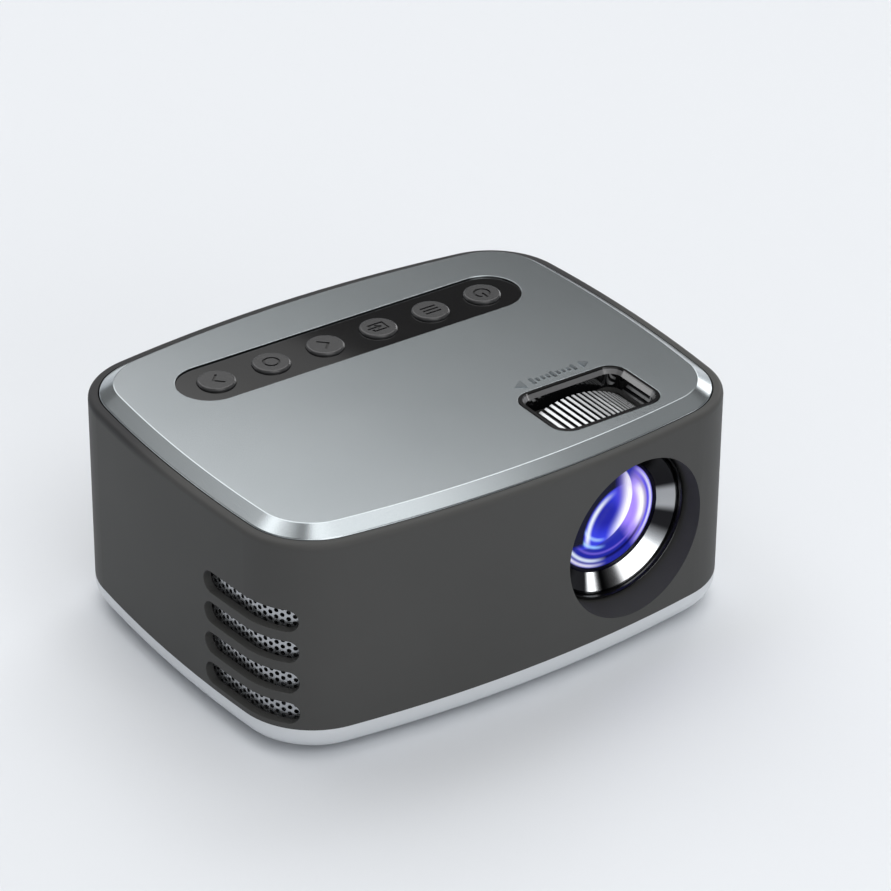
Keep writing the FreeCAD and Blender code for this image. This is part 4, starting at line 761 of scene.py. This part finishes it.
def top_plate_skin():
    """A closed shell: skirt, shoulder, bevel and flat top, with the panel and window holes."""
    mesh = bmesh.new()
    shoulder = plate_low + plate_shoulder_height
    underside = plate_high - plate_thickness
    top_inset = plate_inset + plate_bevel_width
    inner = plate_inset + plate_skirt_wall
    outer_profile = rounded_profile([
        (inner, underside, 0), (inner, plate_low, 0), (plate_inset, plate_low, 0),
        (plate_inset, shoulder, plate_edge_radius), (top_inset, plate_high, plate_edge_radius),
        (top_inset + plate_flat_border, plate_high, 0)])
    angles = outline_angles()
    rings = [[(*outline_point(angle, inset), z) for angle in angles] for inset, z in outer_profile]
    outer_layers = loft(mesh, rings, longest_arc_step)
    tops, bottoms = [outer_layers[-1]], [outer_layers[0]]
    panel_hole = hole_rings(panel_middle, panel_length, panel_width, panel_width / 2, underside)
    window_hole = hole_rings(window_middle, window_width, window_length, window_corner, underside)
    for rings in (panel_hole, window_hole):
        layers = loft(mesh, rings, longest_arc_step)
        tops.append(layers[0])
        bottoms.append(layers[-1])
    fill_between(mesh, tops)
    fill_between(mesh, bottoms)
    bmesh.ops.remove_doubles(mesh, verts=mesh.verts, dist=1e-6)
    bmesh.ops.recalc_face_normals(mesh, faces=mesh.faces)
    return new_object("top_plate_skin", mesh, [finishes["plate_silver"]])


# ---- Focus marks: two arrowheads and a scale of plain ticks, raised behind the window ---------
mark_height = 0.27
mark_slope = 0.2
mark_foot_low, mark_foot_high = -0.05, 0.02
mark_row_y = -16.4
left_tip_x, left_base_x, left_half_base = 17.7, 20.2, 1.6
right_tip_x, right_base_x, right_half_base = 38.1, 35.9, 1.4
tick_first_x, tick_last_x = 22.6, 33.9
tick_count = 9
tick_half_width = 0.3
long_tick_every = 4
long_tick_reach = 1.3
short_tick_reach = 0.75


def raised_mark(mesh, points):
    """A low block with sloping sides over a flat outline."""
    middle = Vector((sum(x for x, _ in points), sum(y for _, y in points))) / len(points)
    arms = [Vector(point) - middle for point in points]
    rings = []
    for inset, rise in ((0, mark_foot_low), (0, mark_foot_high), (mark_slope, mark_height)):
        ring = [middle + arm * (1 - inset / arm.length) for arm in arms]
        rings.append([(x, y, plate_high + rise) for x, y in ring])
    layers = loft(mesh, rings, 0.0)
    mesh.faces.new(reversed(layers[0]))
    mesh.faces.new(layers[-1])


def focus_marks():
    mark_paint = metal("focus_mark_paint", srgb(128, 134, 137), 0.24)
    mesh = bmesh.new()
    raised_mark(mesh, [(left_tip_x, mark_row_y), (left_base_x, mark_row_y - left_half_base),
                       (left_base_x, mark_row_y + left_half_base)])
    raised_mark(mesh, [(right_tip_x, mark_row_y), (right_base_x, mark_row_y + right_half_base),
                       (right_base_x, mark_row_y - right_half_base)])
    for index in range(tick_count):
        x = tick_first_x + (tick_last_x - tick_first_x) * index / (tick_count - 1)
        left, right = x - tick_half_width, x + tick_half_width
        reach = long_tick_reach if index % long_tick_every == 0 else short_tick_reach
        near, far = mark_row_y - reach, mark_row_y + reach
        raised_mark(mesh, [(left, near), (right, near), (right, far), (left, far)])
    bmesh.ops.recalc_face_normals(mesh, faces=mesh.faces)
    return new_object("focus_marks", mesh, [mark_paint], smooth=False)


# ---- Vent meshes: sheet with staggered round holes, bent along the wall ----------------------
class Recipe(Graph):
    """A geometry tree with named inputs, which make() turns into a plain mesh."""

    def __init__(self, name, inputs):
        super().__init__(bpy.data.node_groups.new(name, "GeometryNodeTree"))
        self.sockets = {}
        for label, kind in inputs.items():
            socket = self.tree.interface.new_socket(label, in_out="INPUT", socket_type=kind)
            self.sockets[label] = socket.identifier
        self.tree.interface.new_socket("Mesh", in_out="OUTPUT", socket_type="NodeSocketGeometry")
        self.given = self.add("NodeGroupInput")
        self.result = self.add("NodeGroupOutput")

    def size(self, label):
        return self.given.value(label)

    def vector(self, **parts):
        return self.add("ShaderNodeCombineXYZ", None, parts)

    def close(self, mesh):
        """End the tree: real geometry with its material."""
        real = self.add("GeometryNodeRealizeInstances", None, {0: mesh})
        dressed = self.add("GeometryNodeSetMaterial", None,
                           {"Geometry": real, "Material": self.given.out("Material")})
        self.feed(self.result.node.inputs[0], dressed)

    def make(self, name, **values):
        """Run the tree once with these values and keep only its mesh."""
        holder = bpy.data.objects.new(name + "_holder", bpy.data.meshes.new(name + "_holder"))
        scene.collection.objects.link(holder)
        modifier = holder.modifiers.new("recipe", "NODES")
        modifier.node_group = self.tree
        for label, value in values.items():
            modifier[self.sockets[label]] = value
        graph = bpy.context.evaluated_depsgraph_get()
        data = bpy.data.meshes.new_from_object(holder.evaluated_get(graph))
        bpy.data.objects.remove(holder)
        data.name = name
        obj = bpy.data.objects.new(name, data)
        scene.collection.objects.link(obj)
        return obj


tile_weld_share = 0.05
seam_weld_distance = 0.01 * MM


def perforated_sheet():
    """Hexagon tiles with a hole each, merged, rounded, bent along 'Path' and thickened."""
    recipe = Recipe("perforated_sheet", {
        "Path": "NodeSocketObject", "Pitch": "NodeSocketFloat", "Hole": "NodeSocketFloat",
        "Columns": "NodeSocketInt", "Rows": "NodeSocketInt", "Low": "NodeSocketFloat",
        "Thickness": "NodeSocketFloat", "Material": "NodeSocketMaterial"})
    pitch = recipe.size("Pitch")
    column_step = pitch * math.cos(math.pi / 6)
    tile = recipe.add("GeometryNodeMeshCircle", {"fill_type": "NGON"},
                      {"Vertices": 6, "Radius": pitch / math.sqrt(3)})
    raised = recipe.add("GeometryNodeExtrudeMesh", {"mode": "FACES"},
                        {"Mesh": tile, "Offset Scale": 0.0, "Individual": True})
    shrunk = recipe.add("GeometryNodeScaleElements", {"domain": "FACE"},
                        {"Geometry": raised, "Selection": raised.out("Top"),
                         "Scale": recipe.size("Hole") / pitch})
    ring = recipe.add("GeometryNodeDeleteGeometry", {"domain": "FACE", "mode": "ONLY_FACE"},
                      {"Geometry": shrunk, "Selection": raised.out("Top")})
    columns, rows = recipe.size("Columns"), recipe.size("Rows")
    lattice = recipe.add("GeometryNodeMeshGrid", None,
                         {"Size X": column_step * (columns - 1), "Size Y": pitch * (rows - 1),
                          "Vertices X": columns, "Vertices Y": rows})
    spot = recipe.add("ShaderNodeSeparateXYZ", None, {0: recipe.add("GeometryNodeInputPosition")})
    column = (spot.value("X") / column_step + columns * 0.5 + 0.25).math("FLOOR")
    stagger = column.math("FLOORED_MODULO", 2.0) * pitch * 0.5
    staggered = recipe.add("GeometryNodeSetPosition", None,
                           {"Geometry": lattice, "Offset": recipe.vector(Y=stagger)})
    tiles = recipe.add("GeometryNodeInstanceOnPoints", None,
                       {"Points": staggered, "Instance": ring})
    sheet = recipe.add("GeometryNodeRealizeInstances", None, {0: tiles})
    merged = recipe.add("GeometryNodeMergeByDistance", None,
                        {"Geometry": sheet, "Distance": pitch * tile_weld_share})
    smooth = recipe.add("GeometryNodeSubdivisionSurface", None, {"Mesh": merged, "Level": 1})
    path = recipe.add("GeometryNodeObjectInfo", None, {"Object": recipe.given.out("Path")})
    run = spot.value("X") + column_step * columns * 0.5
    along = recipe.add("GeometryNodeSampleCurve", {"mode": "LENGTH"},
                       {"Curves": path.out("Geometry"), "Length": run})
    rise = spot.value("Y") + pitch * (rows - 1) * 0.5 + recipe.size("Low")
    foot = recipe.add("ShaderNodeSeparateXYZ", None, {0: along.out("Position")})
    place = recipe.vector(X=foot.value("X"), Y=foot.value("Y"), Z=rise)
    bent = recipe.add("GeometryNodeSetPosition", None, {"Geometry": smooth, "Position": place})
    face = recipe.add("GeometryNodeExtrudeMesh", {"mode": "FACES"},
                      {"Mesh": bent, "Offset Scale": recipe.size("Thickness"), "Individual": False})
    back = recipe.add("GeometryNodeFlipFaces", None, {"Mesh": bent})
    both = recipe.add("GeometryNodeJoinGeometry")
    recipe.feed(both.node.inputs[0], back)
    recipe.feed(both.node.inputs[0], face)
    closed = recipe.add("GeometryNodeMergeByDistance", None,
                        {"Geometry": both, "Distance": seam_weld_distance})
    recipe.close(closed)
    return recipe


mesh_pitch = 1.6
mesh_hole = 1.1
mesh_thickness = 0.5
mesh_inset = 2.58
mesh_side_y = -13.6
mesh_corner_deg = 234.0


def vent_path(name, turned):
    """The line along the wall that a vent mesh follows, from the side to the corner."""
    start = math.pi + math.asin(-mesh_side_y / side_bow_radius)
    corner_start = math.pi + side_end
    bend_end = math.radians(mesh_corner_deg)
    side_steps, corner_steps = 12, 24
    angles = [start + (corner_start - start) * step / side_steps for step in range(side_steps)]
    angles += [corner_start + (bend_end - corner_start) * step / corner_steps
               for step in range(corner_steps + 1)]
    data = bpy.data.curves.new(name, "CURVE")
    data.dimensions = "3D"
    spline = data.splines.new("POLY")
    spline.points.add(len(angles) - 1)
    for point, angle in zip(spline.points, angles):
        x, y = outline_point(angle + turned, mesh_inset)
        point.co = (x * MM, y * MM, 0, 1)
    obj = bpy.data.objects.new(name, data)
    scene.collection.objects.link(obj)
    length = sum((a.co.xyz - b.co.xyz).length for a, b in zip(spline.points, spline.points[1:]))
    return obj, length


def vent_meshes(recipe):
    low, high = (corner[2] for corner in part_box("vent_mesh_left"))
    for side, turned in (("left", 0.0), ("right", math.pi)):
        path, length = vent_path("vent_path_" + side, turned)
        column_step = mesh_pitch * MM * math.cos(math.pi / 6)
        margin = mesh_pitch * MM / 2
        columns = int((length - 2 * margin) / column_step) + 1
        rows = int((high - low - 2 * margin) / (mesh_pitch * MM))
        piece = recipe.make("vent_sheet_" + side, Path=path, Pitch=mesh_pitch * MM,
                            Hole=mesh_hole * MM, Columns=columns, Rows=rows, Low=low + margin,
                            Thickness=mesh_thickness * MM, Material=finishes["mesh_steel"])
        bpy.data.objects.remove(path)
        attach(piece, "case")
        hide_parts("vent_mesh_" + side)


plate = top_plate_skin()
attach(plate, "case")
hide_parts("top_plate")
marks = focus_marks()
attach(marks, "case")
vent_meshes(perforated_sheet())
